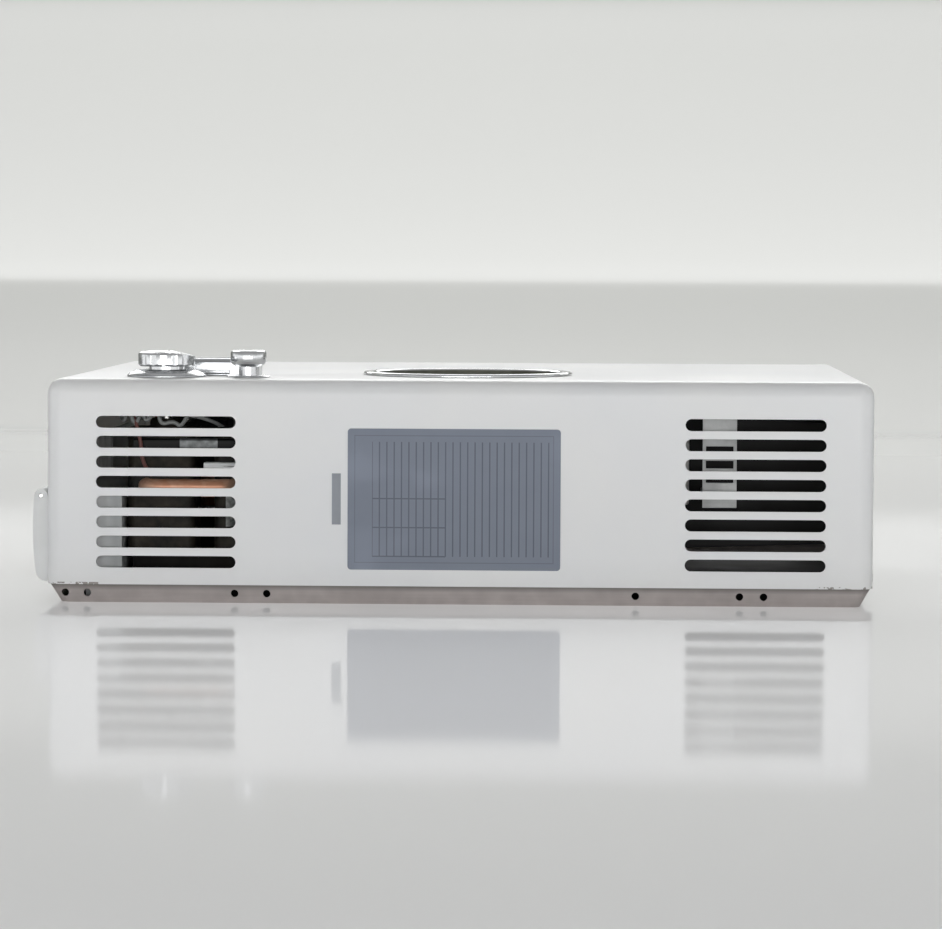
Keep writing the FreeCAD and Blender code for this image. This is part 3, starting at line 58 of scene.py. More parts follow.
camera_data = bpy.data.cameras.new("camera")
camera_data.lens = CAMERA_LENS
camera_data.sensor_width = 36.0
camera_data.clip_end = 50.0
camera = bpy.data.objects.new("camera", camera_data)
bpy.context.scene.collection.objects.link(camera)
bpy.context.scene.camera = camera
turn = (Matrix.Rotation(CAMERA_YAW, 4, "Z") @ Matrix.Rotation(math.pi / 2 - CAMERA_PITCH, 4, "X")
        @ Matrix.Rotation(CAMERA_ROLL, 4, "Z"))
camera.matrix_world = Matrix.Translation(CAMERA_AT) @ turn

# The floor is a pale, glossy table top that runs into a wall, as one bent sheet. Its colour is painted from
# near white in front to mid grey at the wall, a painted shade for the dimmer wall, and it is smooth enough to
# give the heater a soft reflection. A faint glow, which only the camera sees, lifts it to the photograph's
# level.
FLOOR_HALF = 6.0
WALL_DISTANCE = 2.4
WALL_HEIGHT = 3.5
WALL_BEND = 0.9


def linear(text):
    """An sRGB hex colour as the linear RGBA that a shader's socket takes."""
    parts = [int(text[i:i + 2], 16) / 255 for i in (1, 3, 5)]
    return [c / 12.92 if c <= 0.04045 else ((c + 0.055) / 1.055) ** 2.4 for c in parts] + [1.0]


def add(tree, kind, links=None, **settings):
    """Adds a node, sets its properties, then fills its inputs from values or other nodes' sockets."""
    made = tree.nodes.new(kind)
    for key, value in settings.items():
        setattr(made, key, value)
    for key, value in (links or {}).items():
        if isinstance(value, bpy.types.NodeSocket):
            tree.links.new(value, made.inputs[key])
        else:
            made.inputs[key].default_value = value
    return made


def new_material(name, colour, roughness, metallic=0.0):
    """A material with its principled shader set: returns the material, its tree and the shader."""
    made = bpy.data.materials.new(name)
    made.use_nodes = True
    shader = made.node_tree.nodes["Principled BSDF"]
    shader.inputs["Base Color"].default_value = linear(colour)
    shader.inputs["Roughness"].default_value = roughness
    shader.inputs["Metallic"].default_value = metallic
    return made, made.node_tree, shader


def mesh_object(name, build):
    """Makes an object from a function that fills a bmesh."""
    mesh = bmesh.new()
    build(mesh)
    data = bpy.data.meshes.new(name)
    mesh.to_mesh(data)
    mesh.free()
    made = bpy.data.objects.new(name, data)
    bpy.context.scene.collection.objects.link(made)
    return made


def build_stage(mesh):
    profile = [(-FLOOR_HALF, 0.0), (WALL_DISTANCE - WALL_BEND, 0.0)]
    steps = 16
    for i in range(1, steps + 1):
        a = math.pi / 2 * i / steps
        profile.append((WALL_DISTANCE - WALL_BEND * (1 - math.sin(a)), WALL_BEND * (1 - math.cos(a))))
    profile.append((WALL_DISTANCE, WALL_HEIGHT))
    rows = [[mesh.verts.new((x, y, z)) for y, z in profile] for x in (-FLOOR_HALF, FLOOR_HALF)]
    for i in range(len(profile) - 1):
        mesh.faces.new((rows[0][i], rows[1][i], rows[1][i + 1], rows[0][i + 1]))
    for face in mesh.faces:
        face.smooth = True


stage = mesh_object("floor", build_stage)
floor_paint, tree, shader = new_material("floor_paint", "#EDEDED", 0.16)
shader.inputs["Specular IOR Level"].default_value = 0.35
floor_noise = add(tree, "ShaderNodeTexNoise", {"Scale": 3.0, "Detail": 2.0})
floor_tone = add(tree, "ShaderNodeMapRange", {"Value": floor_noise.outputs["Fac"],
                                              "To Min": 0.05, "To Max": 0.08})
tree.links.new(floor_tone.outputs["Result"], shader.inputs["Roughness"])
place = add(tree, "ShaderNodeTexCoord")
depth = add(tree, "ShaderNodeSeparateXYZ", {"Vector": place.outputs["Object"]})
# painted shade: the sheet's colour darkens from near white to mid grey towards the wall
behind = add(tree, "ShaderNodeMapRange", {"Value": depth.outputs["Y"], "From Min": 0.3, "From Max": 2.0})
tone = add(tree, "ShaderNodeMix", {"Factor": behind.outputs["Result"], 6: linear("#F6F6F6"),
                                   7: linear("#969793")}, data_type="RGBA")
tree.links.new(tone.outputs[2], shader.inputs["Base Color"])
stage.data.materials.append(floor_paint)
shader.inputs["Emission Color"].default_value = linear("#FFFFFF")
rays = add(tree, "ShaderNodeLightPath")
seen = add(tree, "ShaderNodeMath", {0: rays.outputs["Is Camera Ray"], 1: 0.2}, operation="MULTIPLY")
tree.links.new(seen.outputs[0], shader.inputs["Emission Strength"])

# Soft studio light: a pale world that is bright low in front and behind, and dim high in front, with a panel
# behind, one overhead and one low in front. It keeps the flat faces bright and the rounded long edge grey.
# Mirror-like parts see the same world held between two levels, so that chrome shows soft greys.
WORLD_BASE = 0.10
WORLD_LOW_FRONT = 4.35
SEEN_LOW = 0.35
SEEN_HIGH = 1.3
WORLD_BACK = 1.7
PANELS = (
    ("back_panel", (0.0, 2.0, 1.3), (0.0, -0.2, 0.0), (2.4, 1.2), 36.0),
    ("overhead_panel", (0.0, 0.2, 3.0), (0.0, 0.0, 0.0), (2.6, 2.6), 4.5),
    ("low_panel", (0.0, -3.6, 0.18), (0.0, 0.0, 0.05), (3.6, 0.32), 20.0),
)
world = bpy.data.worlds.new("studio")
world.use_nodes = True
tree = world.node_tree
place = add(tree, "ShaderNodeTexCoord")
way = add(tree, "ShaderNodeSeparateXYZ", {"Vector": place.outputs["Generated"]})
low = add(tree, "ShaderNodeMapRange", {
    "Value": way.outputs["Z"], "From Min": 0.0, "From Max": 0.24, "To Min": WORLD_LOW_FRONT,
    "To Max": 0.0}, interpolation_type="SMOOTHSTEP")
back = add(tree, "ShaderNodeMapRange", {
    "Value": way.outputs["Y"], "From Min": 0.35, "From Max": 0.85, "To Min": 0.0,
    "To Max": WORLD_BACK}, interpolation_type="SMOOTHSTEP")
level = add(tree, "ShaderNodeMath", {0: low.outputs["Result"], 1: back.outputs["Result"]}, operation="ADD")
level = add(tree, "ShaderNodeMath", {0: level.outputs[0], 1: WORLD_BASE}, operation="ADD")
seen = add(tree, "ShaderNodeMath", {0: level.outputs[0], 1: SEEN_HIGH}, operation="MINIMUM")
seen = add(tree, "ShaderNodeMath", {0: seen.outputs[0], 1: SEEN_LOW}, operation="MAXIMUM")
rays = add(tree, "ShaderNodeLightPath")
level = add(tree, "ShaderNodeMix", {0: rays.outputs["Is Glossy Ray"], 2: level.outputs[0],
                                    3: seen.outputs[0]})
tree.links.new(level.outputs[0], tree.nodes["Background"].inputs["Strength"])
tree.nodes["Background"].inputs["Color"].default_value = linear("#F7F8F9")
bpy.context.scene.world = world
for name, place, aim, size, watts in PANELS:
    light = bpy.data.lights.new(name, "AREA")
    light.shape = "RECTANGLE"
    light.size, light.size_y = size
    light.energy = watts
    lamp = bpy.data.objects.new(name, light)
    lamp.matrix_world = (Matrix.Translation(Vector(place))
                         @ (Vector(aim) - Vector(place)).to_track_quat("-Z", "Y").to_matrix().to_4x4())
    bpy.context.scene.collection.objects.link(lamp)
bpy.context.scene.view_settings.view_transform = "Standard"


# The front cover: one deep-drawn steel pan with pierced vents, powder coated semi-gloss white. The coat
# leaves a faint orange peel of about 1.5 mm, its colour is a little greyer, with noise, towards the lower
# edge over the lowest 22 mm, and the lower corners have small chips.
SHARP = math.radians(28)


def body_of(node):
    return next(body for body, nodes in frame["record"]["behaviour"]["bodies"].items() if node in nodes)


def merged(node):
    """A bmesh of a CAD node with its seams closed and its flat faces joined."""
    mesh = bmesh.new()
    mesh.from_mesh(frame["nodes"][node].data)
    bmesh.ops.remove_doubles(mesh, verts=mesh.verts, dist=1e-6)
    bmesh.ops.dissolve_limit(mesh, angle_limit=math.radians(0.5), verts=mesh.verts, edges=mesh.edges)
    return mesh


def shaded(mesh):
    for face in mesh.faces:
        face.smooth = True
    for line in mesh.edges:
        line.smooth = len(line.link_faces) == 2 and line.calc_face_angle(0.0) < SHARP


def piece_of(name, mesh, *materials):
    """Turns a bmesh into an object that wears the materials."""
    data = bpy.data.meshes.new(name)
    mesh.to_mesh(data)
    mesh.free()
    piece = bpy.data.objects.new(name, data)
    bpy.context.scene.collection.objects.link(piece)
    for material in materials:
        data.materials.append(material)
    return piece


def softened(piece, edge, segments=2):
    """Breaks the sharp edges by a width in metres."""
    bevel = piece.modifiers.new("broken_edge", "BEVEL")
    bevel.width = edge
    bevel.segments = segments
    bevel.limit_method = "ANGLE"
    bevel.angle_limit = SHARP
    bevel.harden_normals = True
    bevel.use_clamp_overlap = True


def dressed(piece, *nodes):
    """Makes a piece stand for CAD nodes and ride on their body."""
    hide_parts(*nodes)
    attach(piece, body_of(nodes[0]))


def added(piece, body):
    """Makes a piece of the scene's own ride on a body."""
    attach(piece, body)


def finished(node, material, edge=0.0003, segments=2, second=None, where=None):
    """A merged, smooth-shaded copy of a CAD node with its edges broken, which stands for the node. Faces
    that where() picks by their centre and normal wear the second material."""
    mesh = merged(node)
    shaded(mesh)
    if second:
        for face in mesh.faces:
            face.material_index = int(where(face.calc_center_median(), face.normal))
    piece = piece_of(node + "_finished", mesh, material, *([second] if second else []))
    if edge:
        softened(piece, edge, segments)
    dressed(piece, node)
    return piece


def object_place(tree):
    return add(tree, "ShaderNodeTexCoord").outputs["Object"]


def object_noise(tree, per_metre, detail=2.0, roughness=0.5, stretch=None):
    """A noise on the object's own coordinates with so many lumps to the metre, stretched if asked."""
    place = object_place(tree)
    if stretch:
        place = add(tree, "ShaderNodeVectorMath", {0: place, 1: stretch}, operation="MULTIPLY").outputs[0]
    return add(tree, "ShaderNodeTexNoise", {"Vector": place, "Scale": per_metre,
                                            "Detail": detail, "Roughness": roughness}).outputs["Fac"]


def axis_of(tree, axis):
    return add(tree, "ShaderNodeSeparateXYZ", {"Vector": object_place(tree)}).outputs[axis]


def spread(tree, fac, low, high, to_low=0.0, to_high=1.0):
    return add(tree, "ShaderNodeMapRange", {"Value": fac, "From Min": low, "From Max": high,
                                            "To Min": to_low, "To Max": to_high}).outputs["Result"]


def math_of(tree, operation, *values):
    return add(tree, "ShaderNodeMath", dict(enumerate(values)), operation=operation).outputs[0]


def mixed(tree, fac, first, second):
    """Mixes two colours, each a hex text or a socket, by a factor."""
    ends = [linear(end) if isinstance(end, str) else end for end in (first, second)]
    return add(tree, "ShaderNodeMix", {"Factor": fac, 6: ends[0], 7: ends[1]}, data_type="RGBA").outputs[2]


def toned(tree, shader, fac, dark, pale, low=0.35, high=0.65):
    """Colours a shader between two hex colours by a factor, and returns the colour."""
    colour = mixed(tree, spread(tree, fac, low, high), dark, pale)
    tree.links.new(colour, shader.inputs["Base Color"])
    return colour


def bumped(tree, shader, height, strength, distance):
    """Adds a bump whose depth is a real distance in metres."""
    bump = add(tree, "ShaderNodeBump", {"Height": height, "Strength": strength, "Distance": distance})
    tree.links.new(bump.outputs["Normal"], shader.inputs["Normal"])


def varied(tree, shader, fac, smooth, rough):
    """Lets the roughness wander between two values by a factor."""
    tree.links.new(spread(tree, fac, 0.3, 0.7, smooth, rough), shader.inputs["Roughness"])


CHIP_TOP = 0.0093
CHIP_FROM_X, CHIP_FROM_Y = 0.160, 0.112
powder_coat, tree, shader = new_material("powder_coated_steel", "#F0F1F1", 0.33)
cloud = object_noise(tree, 14.0, 3.0)
# greyer towards the lower edge: a noisy mask over the lowest 22 mm, mixed in a little
low_edge_grey_mask = math_of(tree, "MULTIPLY", spread(tree, axis_of(tree, "Z"), 0.022, 0.006),
                object_noise(tree, 60.0, 5.0, 0.7))
clean = mixed(tree, spread(tree, cloud, 0.35, 0.65), "#EFF0F1", "#F4F4F3")
dulled = mixed(tree, math_of(tree, "MULTIPLY", low_edge_grey_mask, 0.2), clean, "#A8A49E")
chipped = math_of(tree, "GREATER_THAN", object_noise(tree, 520.0, 3.0), 0.57)
near_edge = math_of(tree, "LESS_THAN", axis_of(tree, "Z"), CHIP_TOP)
corner = math_of(tree, "MULTIPLY", *(
    math_of(tree, "GREATER_THAN", math_of(tree, "ABSOLUTE", axis_of(tree, axis)), reach)
    for axis, reach in (("X", CHIP_FROM_X), ("Y", CHIP_FROM_Y))))
chips = math_of(tree, "MULTIPLY", chipped, math_of(tree, "MULTIPLY", near_edge, corner))
tree.links.new(mixed(tree, chips, dulled, "#9C9791"), shader.inputs["Base Color"])
varied(tree, shader, math_of(tree, "ADD", cloud, math_of(tree, "MULTIPLY", low_edge_grey_mask, 0.6)), 0.29, 0.38)
bumped(tree, shader, object_noise(tree, 650.0, 1.0), 0.25, 0.00004)
finished("front_cover", powder_coat, 0.00025)

# The back pan: a shallow folded tray of zinc-plated sheet, dulled to a warm mauve grey. It has spangle of
# about 6 mm, streaks from the rolling along its length, and a painted shadow, a darker band, under the
# cover's edge. Its inner floor is painted near black, a painted shade, so the vents look dark.
zinc_sheet, tree, shader = new_material("galvanised_sheet", "#B5ADAB", 0.48, 0.3)
spangle = add(tree, "ShaderNodeTexVoronoi", {"Vector": object_place(tree),
                                             "Scale": 160.0}).outputs["Distance"]
grime = object_noise(tree, 30.0, 5.0, 0.65)
streak = object_noise(tree, 900.0, 2.0, 0.5, (0.03, 1.0, 1.0))
blend = math_of(tree, "MULTIPLY", math_of(tree, "ADD", spangle, streak),
                math_of(tree, "MULTIPLY", grime, 0.6))
plain = mixed(tree, spread(tree, blend, 0.05, 0.62), "#AEA6A3", "#C8C0BD")
# painted shadow: a darker band on the pan's side just under the cover's edge
painted_edge_shadow = math_of(tree, "MULTIPLY", spread(tree, axis_of(tree, "Z"), 0.0056, 0.0084), 0.8)
tree.links.new(mixed(tree, painted_edge_shadow, plain, "#5F5B56"), shader.inputs["Base Color"])
varied(tree, shader, grime, 0.40, 0.58)
bumped(tree, shader, grime, 0.2, 0.0001)
# painted shade: a near black sheet colour that stands for the dark inside behind the vents
painted_shade_zinc, tree, shader = new_material("painted_shade_zinc_sheet", "#1A1918", 0.8)
shader.inputs["Specular IOR Level"].default_value = 0.15
shade_mottle = object_noise(tree, 35.0, 5.0, 0.65)
toned(tree, shader, shade_mottle, "#0F0E0E", "#242220")
varied(tree, shader, shade_mottle, 0.7, 0.9)
PAN_FLOOR = 0.003
finished("back_pan", zinc_sheet, 0.0002, 2, painted_shade_zinc,
         lambda centre, normal: centre.z < PAN_FLOOR and normal.z > 0.5)

# Other zinc-plated sheet, cut and folded: the fitting plate and flue grille are bright, the strip behind the
# top-end vents is duller, and the valves' bracket is painted near black like the pan's floor, a painted
# shade.
inner_sheet, tree, shader = new_material("bright_zinc_sheet", "#BEBEBC", 0.38, 0.6)
rolled = object_noise(tree, 700.0, 2.0, 0.5, (1.0, 1.0, 0.04))
toned(tree, shader, rolled, "#B0B0AE", "#CFCFCD")
varied(tree, shader, rolled, 0.32, 0.46)
bumped(tree, shader, rolled, 0.2, 0.00004)
for node in ("fitting_plate", "flue_grille"):
    finished(node, inner_sheet, 0.0002)
dull_sheet, tree, shader = new_material("dull_zinc_strip", "#8F9090", 0.5, 0.4)
toned(tree, shader, object_noise(tree, 60.0, 5.0, 0.6), "#A9AAA9", "#C2C3C2")
varied(tree, shader, object_noise(tree, 200.0, 3.0), 0.44, 0.58)
finished("hood_bracket", dull_sheet, 0.0002)
finished("valve_bracket", painted_shade_zinc, 0.0002)

# Zinc-plated pan-head screws with a cross recess, driven through the cover's ends into the pan's lip. The
# plating is bright, with fine marks that vary its gloss.
zinc_screw, tree, shader = new_material("bright_zinc_screw", "#BFBFBC", 0.3, 1.0)
drag = object_noise(tree, 900.0, 2.0)
varied(tree, shader, drag, 0.22, 0.42)
toned(tree, shader, drag, "#AEAEA9", "#CFCFCB")
finished("cover_screws", zinc_screw, 0.00015)

# Two blank foil labels: matt silver-blue foil stuck to the near side. The large one keeps only its border
# and thin dark rules, 3.3 mm apart, with a small ruled table at its lower left and nothing written in it.
foil, tree, shader = new_material("matt_foil_label", "#7A818D", 0.42, 0.25)
LABEL_X = (-0.0499, 0.0457)
LABEL_Z = (0.0158, 0.0793)
RULE = 0.00028
RULE_PITCH = 0.0033
TABLE_PITCH = 0.013
BORDER_IN = 0.003
BORDER_WIDTH = 0.0004
along_x, along_z = axis_of(tree, "X"), axis_of(tree, "Z")


def line_at(tree, coordinate, place, width):
    """1 within half a width of a place on a coordinate."""
    return math_of(tree, "COMPARE", coordinate, place, width / 2)


def within(tree, coordinate, low, high):
    return line_at(tree, coordinate, (low + high) / 2, high - low)


def ruled(tree, coordinate, start, pitch):
    """Lines across a coordinate, one every pitch."""
    from_start = math_of(tree, "SUBTRACT", coordinate, start)
    return math_of(tree, "LESS_THAN", math_of(tree, "PINGPONG", from_start, pitch / 2), RULE)


TABLE_X = (LABEL_X[0] + 0.011, LABEL_X[0] + 0.044)
TABLE_Z = (LABEL_Z[0] + 0.006, LABEL_Z[0] + 0.032)
RULES_END = 0.0425
entries = math_of(tree, "MULTIPLY", ruled(tree, along_x, TABLE_X[0], RULE_PITCH),
                  within(tree, along_x, TABLE_X[0], RULES_END))
entries = math_of(tree, "MULTIPLY", entries, within(tree, along_z, TABLE_Z[0], LABEL_Z[1] - 0.006))
table = math_of(tree, "MULTIPLY", ruled(tree, along_z, TABLE_Z[0], TABLE_PITCH),
                within(tree, along_x, *TABLE_X))
table = math_of(tree, "MULTIPLY", table, within(tree, along_z, TABLE_Z[0] - 0.0005, TABLE_Z[1] + 0.0005))
inside, inner = (
    math_of(tree, "MULTIPLY", within(tree, along_x, LABEL_X[0] + inset, LABEL_X[1] - inset),
            within(tree, along_z, LABEL_Z[0] + inset, LABEL_Z[1] - inset))
    for inset in (BORDER_IN, BORDER_IN + BORDER_WIDTH))
border = math_of(tree, "SUBTRACT", inside, inner)
lines = math_of(tree, "MULTIPLY", math_of(tree, "MAXIMUM", entries, table), 0.62)
printed = math_of(tree, "MAXIMUM", lines, math_of(tree, "MULTIPLY", border, 0.35))
sheen = object_noise(tree, 22.0, 4.0)
ground = mixed(tree, spread(tree, sheen, 0.3, 0.7), "#737A88", "#828996")
tree.links.new(mixed(tree, printed, ground, "#454B57"), shader.inputs["Base Color"])
varied(tree, shader, sheen, 0.38, 0.52)
bumped(tree, shader, object_noise(tree, 1500.0, 2.0), 0.15, 0.00002)
finished("rating_plate", foil, 0.0)
plain_foil, tree, shader = new_material("plain_foil_sticker", "#8A8F98", 0.45, 0.25)
sheen = object_noise(tree, 60.0, 3.0)
toned(tree, shader, sheen, "#8E9298", "#999DA4")
varied(tree, shader, sheen, 0.4, 0.5)
finished("side_sticker", plain_foil, 0.0)

# Bright chrome: knobs and window ring, die-cast zinc polished and plated. A near-perfect mirror with the
# faintest haze and hairline scratches. The large knob's flutes are drawn at 0.65 of the CAD's depth, which
# matches their soft look in the photograph, and a fine black pointer line marks the top of each knob.
KNOB_X = {"gas_knob": -0.135, "flow_knob": -0.0975}
KNOB_Y = -0.113
KNOB_REACH = {"gas_knob": 0.0105, "flow_knob": 0.0064}
KNOB_TOP = {"gas_knob": 0.1121, "flow_knob": 0.1127}
GRIP_RADIUS = 0.013
FLUTE_DEPTH = 0.0006
FLUTE_SHARE = 0.65
POINTER_WIDTH = 0.0009
POINTER_START = 0.3


def chrome_finish(name, smooth, rough):
    made, tree, shader = new_material(name, "#E2E3E4", 0.07, 1.0)
    haze = object_noise(tree, 120.0, 3.0)
    hairline = object_noise(tree, 2500.0, 2.0, 0.6, (1.0, 0.05, 1.0))
    varied(tree, shader, math_of(tree, "ADD", math_of(tree, "MULTIPLY", haze, 0.7),
                                 math_of(tree, "MULTIPLY", hairline, 0.3)), smooth, rough)
    bumped(tree, shader, hairline, 0.05, 0.00001)
    return made, tree, shader


chrome = chrome_finish("chrome_plate", 0.05, 0.14)[0]
for node, centre in KNOB_X.items():
    marked, tree, shader = chrome_finish(node + "_chrome_plate", 0.17, 0.26)
    line = math_of(tree, "MULTIPLY", line_at(tree, axis_of(tree, "X"), centre, POINTER_WIDTH),
                   within(tree, axis_of(tree, "Y"), KNOB_Y + POINTER_START * KNOB_REACH[node],
                          KNOB_Y + KNOB_REACH[node]))
    line = math_of(tree, "MULTIPLY", line, math_of(tree, "GREATER_THAN", axis_of(tree, "Z"), KNOB_TOP[node]))
    tree.links.new(mixed(tree, line, "#E2E3E4", "#141414"), shader.inputs["Base Color"])
    tree.links.new(math_of(tree, "SUBTRACT", 1.0, line), shader.inputs["Metallic"])
    mesh = merged(node)
    for vertex in mesh.verts:
        out = Vector((vertex.co.x - centre, vertex.co.y - KNOB_Y))
        shallow = GRIP_RADIUS - (GRIP_RADIUS - out.length) * FLUTE_SHARE
        if node == "gas_knob" and GRIP_RADIUS - FLUTE_DEPTH < out.length < GRIP_RADIUS:
            out *= shallow / out.length
            vertex.co.x, vertex.co.y = centre + out.x, KNOB_Y + out.y
    shaded(mesh)
    knob = piece_of(node + "_finished", mesh, marked)
    softened(knob, 0.0006, 4)
    dressed(knob, node)

# The window's ring is chromed outside and on its rim. Its sleeve, which looks on the flame, has gone to a
# dull olive grey with heat.
WINDOW_AT = Vector((0.001, -0.061))
SLEEVE_RADIUS = 0.0448
SLEEVE_TOP = 0.1016
heat_grey, tree, shader = new_material("heat_dulled_plate", "#6E7064", 0.5, 0.6)
stain = object_noise(tree, 110.0, 4.0, 0.6)
toned(tree, shader, stain, "#5C5E52", "#7C7E71")
varied(tree, shader, stain, 0.42, 0.6)


def in_sleeve(centre, normal):
    out = Vector(centre.xy) - WINDOW_AT
    return out.length < SLEEVE_RADIUS and centre.z < SLEEVE_TOP and normal.xy.dot(out) < 0.3 * out.length


finished("window_ring", chrome, 0.0003, 3, heat_grey, in_sleeve)

# Satin chrome: the skirt plates under the knobs and the raised display bar. They are brushed along the
# heater's length before plating.
satin_chrome, tree, shader = new_material("satin_chrome_plate", "#BFC1C3", 0.22, 1.0)
brushing = object_noise(tree, 1400.0, 2.0, 0.5, (0.04, 1.0, 1.0))
varied(tree, shader, brushing, 0.19, 0.27)
toned(tree, shader, brushing, "#BCBEC0", "#C6C8C9")
bumped(tree, shader, brushing, 0.04, 0.00001)
for node in ("gas_knob_skirt", "flow_knob_plate", "display_bezel"):
    finished(node, satin_chrome, 0.0003, 3)

# Smoked glass in the round window, see-through enough to show the flame, and a darker lens on the display
# bar. Both are polished, with finger smudges about 20 mm across.
smoked, tree, shader = new_material("smoked_glass", "#4A4F45", 0.04)
shader.inputs["IOR"].default_value = 1.52
shader.inputs["Transmission Weight"].default_value = 0.75
smudge = object_noise(tree, 45.0, 4.0, 0.6)
varied(tree, shader, smudge, 0.02, 0.12)
finished("window_glass", smoked, 0.0003, 3)
lens, tree, shader = new_material("dark_display_lens", "#101211", 0.05)
shader.inputs["IOR"].default_value = 1.49
varied(tree, shader, object_noise(tree, 80.0, 4.0), 0.03, 0.12)
finished("display_lens", lens, 0.0002)

# Black moulded rubber: the window's gasket, the diaphragm and the poppet. It is matt, with a fine grain from
# the mould.
rubber, tree, shader = new_material("moulded_rubber", "#1B1B1C", 0.7)
grain = object_noise(tree, 900.0, 2.0)
toned(tree, shader, grain, "#161617", "#252526")
varied(tree, shader, grain, 0.62, 0.82)
for node in ("window_gasket", "diaphragm", "gas_poppet"):
    finished(node, rubber, 0.0001)

# The battery box and its door: white moulded ABS with a fine spark-eroded texture, a little duller where
# hands have pressed it, and painted grey at the box's inner end, a painted shade.
abs_white, tree, shader = new_material("white_moulded_abs", "#E6E8E8", 0.45)
shader.inputs["IOR"].default_value = 1.54
handled = object_noise(tree, 35.0, 4.0, 0.6)
outer = mixed(tree, spread(tree, handled, 0.35, 0.65), "#E5E6E5", "#EBECEC")
# painted shade: the box's inner end is painted grey
tree.links.new(mixed(tree, spread(tree, axis_of(tree, "X"), -0.166, -0.156), outer, "#B2B5B5"),
               shader.inputs["Base Color"])
varied(tree, shader, handled, 0.41, 0.49)
bumped(tree, shader, object_noise(tree, 1600.0, 2.0), 0.35, 0.00003)
for node in ("battery_box", "battery_door"):
    finished(node, abs_white, 0.0004, 3)

# Small parts of nickel-plated steel: the two spindles, the door's pin, the contacts and the push rod. The
# plating is bright, and its gloss varies with handling.
plated, tree, shader = new_material("nickel_plated_steel", "#BDBDBA", 0.28, 1.0)
wear = object_noise(tree, 400.0, 3.0)
toned(tree, shader, wear, "#AFAFAB", "#C9C9C6")
varied(tree, shader, wear, 0.20, 0.38)
for node in ("gas_spindle", "flow_spindle", "battery_door_pin", "battery_contacts", "push_rod"):
    finished(node, plated, 0.00015)

# The bar that ties the two valve bodies: blued flat steel, with a painted highlight, a bright length at its
# middle that shows through a left vent.
blued, tree, shader = new_material("blued_steel_bar", "#3A3A3A", 0.45, 0.6)
# painted highlight: a bright band along the bar's middle
painted_highlight_band = math_of(tree, "MULTIPLY", within(tree, axis_of(tree, "X"), -0.1272, -0.1100),
                 object_noise(tree, 300.0, 3.0))
tree.links.new(mixed(tree, painted_highlight_band, "#191919", "#A2A6A6"), shader.inputs["Base Color"])
varied(tree, shader, painted_highlight_band, 0.5, 0.4)
finished("valve_tie_bar", blued, 0.0003)

# Two D cells: a plain dark shrink sleeve with a copper-coloured band, and bare nickel-plated caps. The
# sleeve is shrunk on and smooth, so it has a soft gloss.
sleeve, tree, shader = new_material("cell_shrink_sleeve", "#2B2E33", 0.3)
shader.inputs["Coat Weight"].default_value = 0.4
CELL_BANDS = ((-0.0865, -0.0745), (-0.0245, -0.0125))
band = math_of(tree, "MAXIMUM", *(within(tree, axis_of(tree, "Y"), *ends) for ends in CELL_BANDS))
wrap = object_noise(tree, 60.0, 2.0)
body_tone = mixed(tree, spread(tree, wrap, 0.2, 0.8), "#292C31", "#2F3237")
tree.links.new(mixed(tree, band, body_tone, "#9A7B4C"), shader.inputs["Base Color"])
varied(tree, shader, wrap, 0.28, 0.34)
finished("battery_cells", sleeve, 0.0003, 2, plated, lambda centre, normal: abs(normal.y) > 0.7)

# Turned brass for the three unions, their lock nuts, the valve's plug and the injectors. It has the dull
# lustre of handled brass, with tool marks that run round each turned part.
brass, tree, shader = new_material("turned_brass", "#B8924F", 0.3, 1.0)
tarnish = object_noise(tree, 70.0, 2.0)
tooling = object_noise(tree, 1100.0, 2.0, 0.5, (1.0, 0.05, 0.05))
toned(tree, shader, tarnish, "#AF8B4D", "#C9A663")
varied(tree, shader, math_of(tree, "ADD", math_of(tree, "MULTIPLY", tarnish, 0.6),
                             math_of(tree, "MULTIPLY", tooling, 0.4)), 0.24, 0.38)
bumped(tree, shader, tooling, 0.06, 0.00001)
for node in ("lock_nuts", "gas_valve_plug", "gas_injectors"):
    finished(node, brass, 0.0003)

# Threads, coil springs and windings are one wound wire each, from one geometry node tree. Its wire's
# section has 3 sides for a thread's ridge and 8 for a spring.
WOUND_INPUTS = (("Turns", "NodeSocketFloat"), ("Start Radius", "NodeSocketFloat"),
                ("End Radius", "NodeSocketFloat"), ("Length", "NodeSocketFloat"),
                ("Wire Radius", "NodeSocketFloat"), ("Sides", "NodeSocketInt"), ("Steps", "NodeSocketInt"))


def group_tree(name, inputs):
    """An empty geometry node tree with its input and output sockets: returns it with both end nodes."""
    tree = bpy.data.node_groups.new(name, "GeometryNodeTree")
    tree.interface.new_socket("Geometry", in_out="INPUT", socket_type="NodeSocketGeometry")
    for label, kind in inputs:
        tree.interface.new_socket(label, in_out="INPUT", socket_type=kind)
    tree.interface.new_socket("Geometry", in_out="OUTPUT", socket_type="NodeSocketGeometry")
    return tree, tree.nodes.new("NodeGroupInput"), tree.nodes.new("NodeGroupOutput")


def closed_tree(tree, geometry, material, end):
    """Ends a tree with its instances made real and its material set."""
    real = add(tree, "GeometryNodeRealizeInstances", {"Geometry": geometry})
    worn = add(tree, "GeometryNodeSetMaterial", {"Geometry": real.outputs[0], "Material": material})
    tree.links.new(worn.outputs[0], end.inputs[0])


def grown(name, tree, values, start=None):
    """Runs a geometry node tree with the named input values and returns the mesh that it makes."""
    holder = bpy.data.objects.new(name, start or bpy.data.meshes.new(name + "_start"))
    bpy.context.scene.collection.objects.link(holder)
    modifier = holder.modifiers.new("grown", "NODES")
    modifier.node_group = tree
    for item in tree.interface.items_tree:
        if item.in_out == "INPUT" and item.name in values:
            modifier[item.identifier] = values[item.name]
    bpy.context.view_layer.update()
    made = bpy.data.meshes.new_from_object(holder.evaluated_get(bpy.context.evaluated_depsgraph_get()))
    bpy.data.objects.remove(holder)
    return made


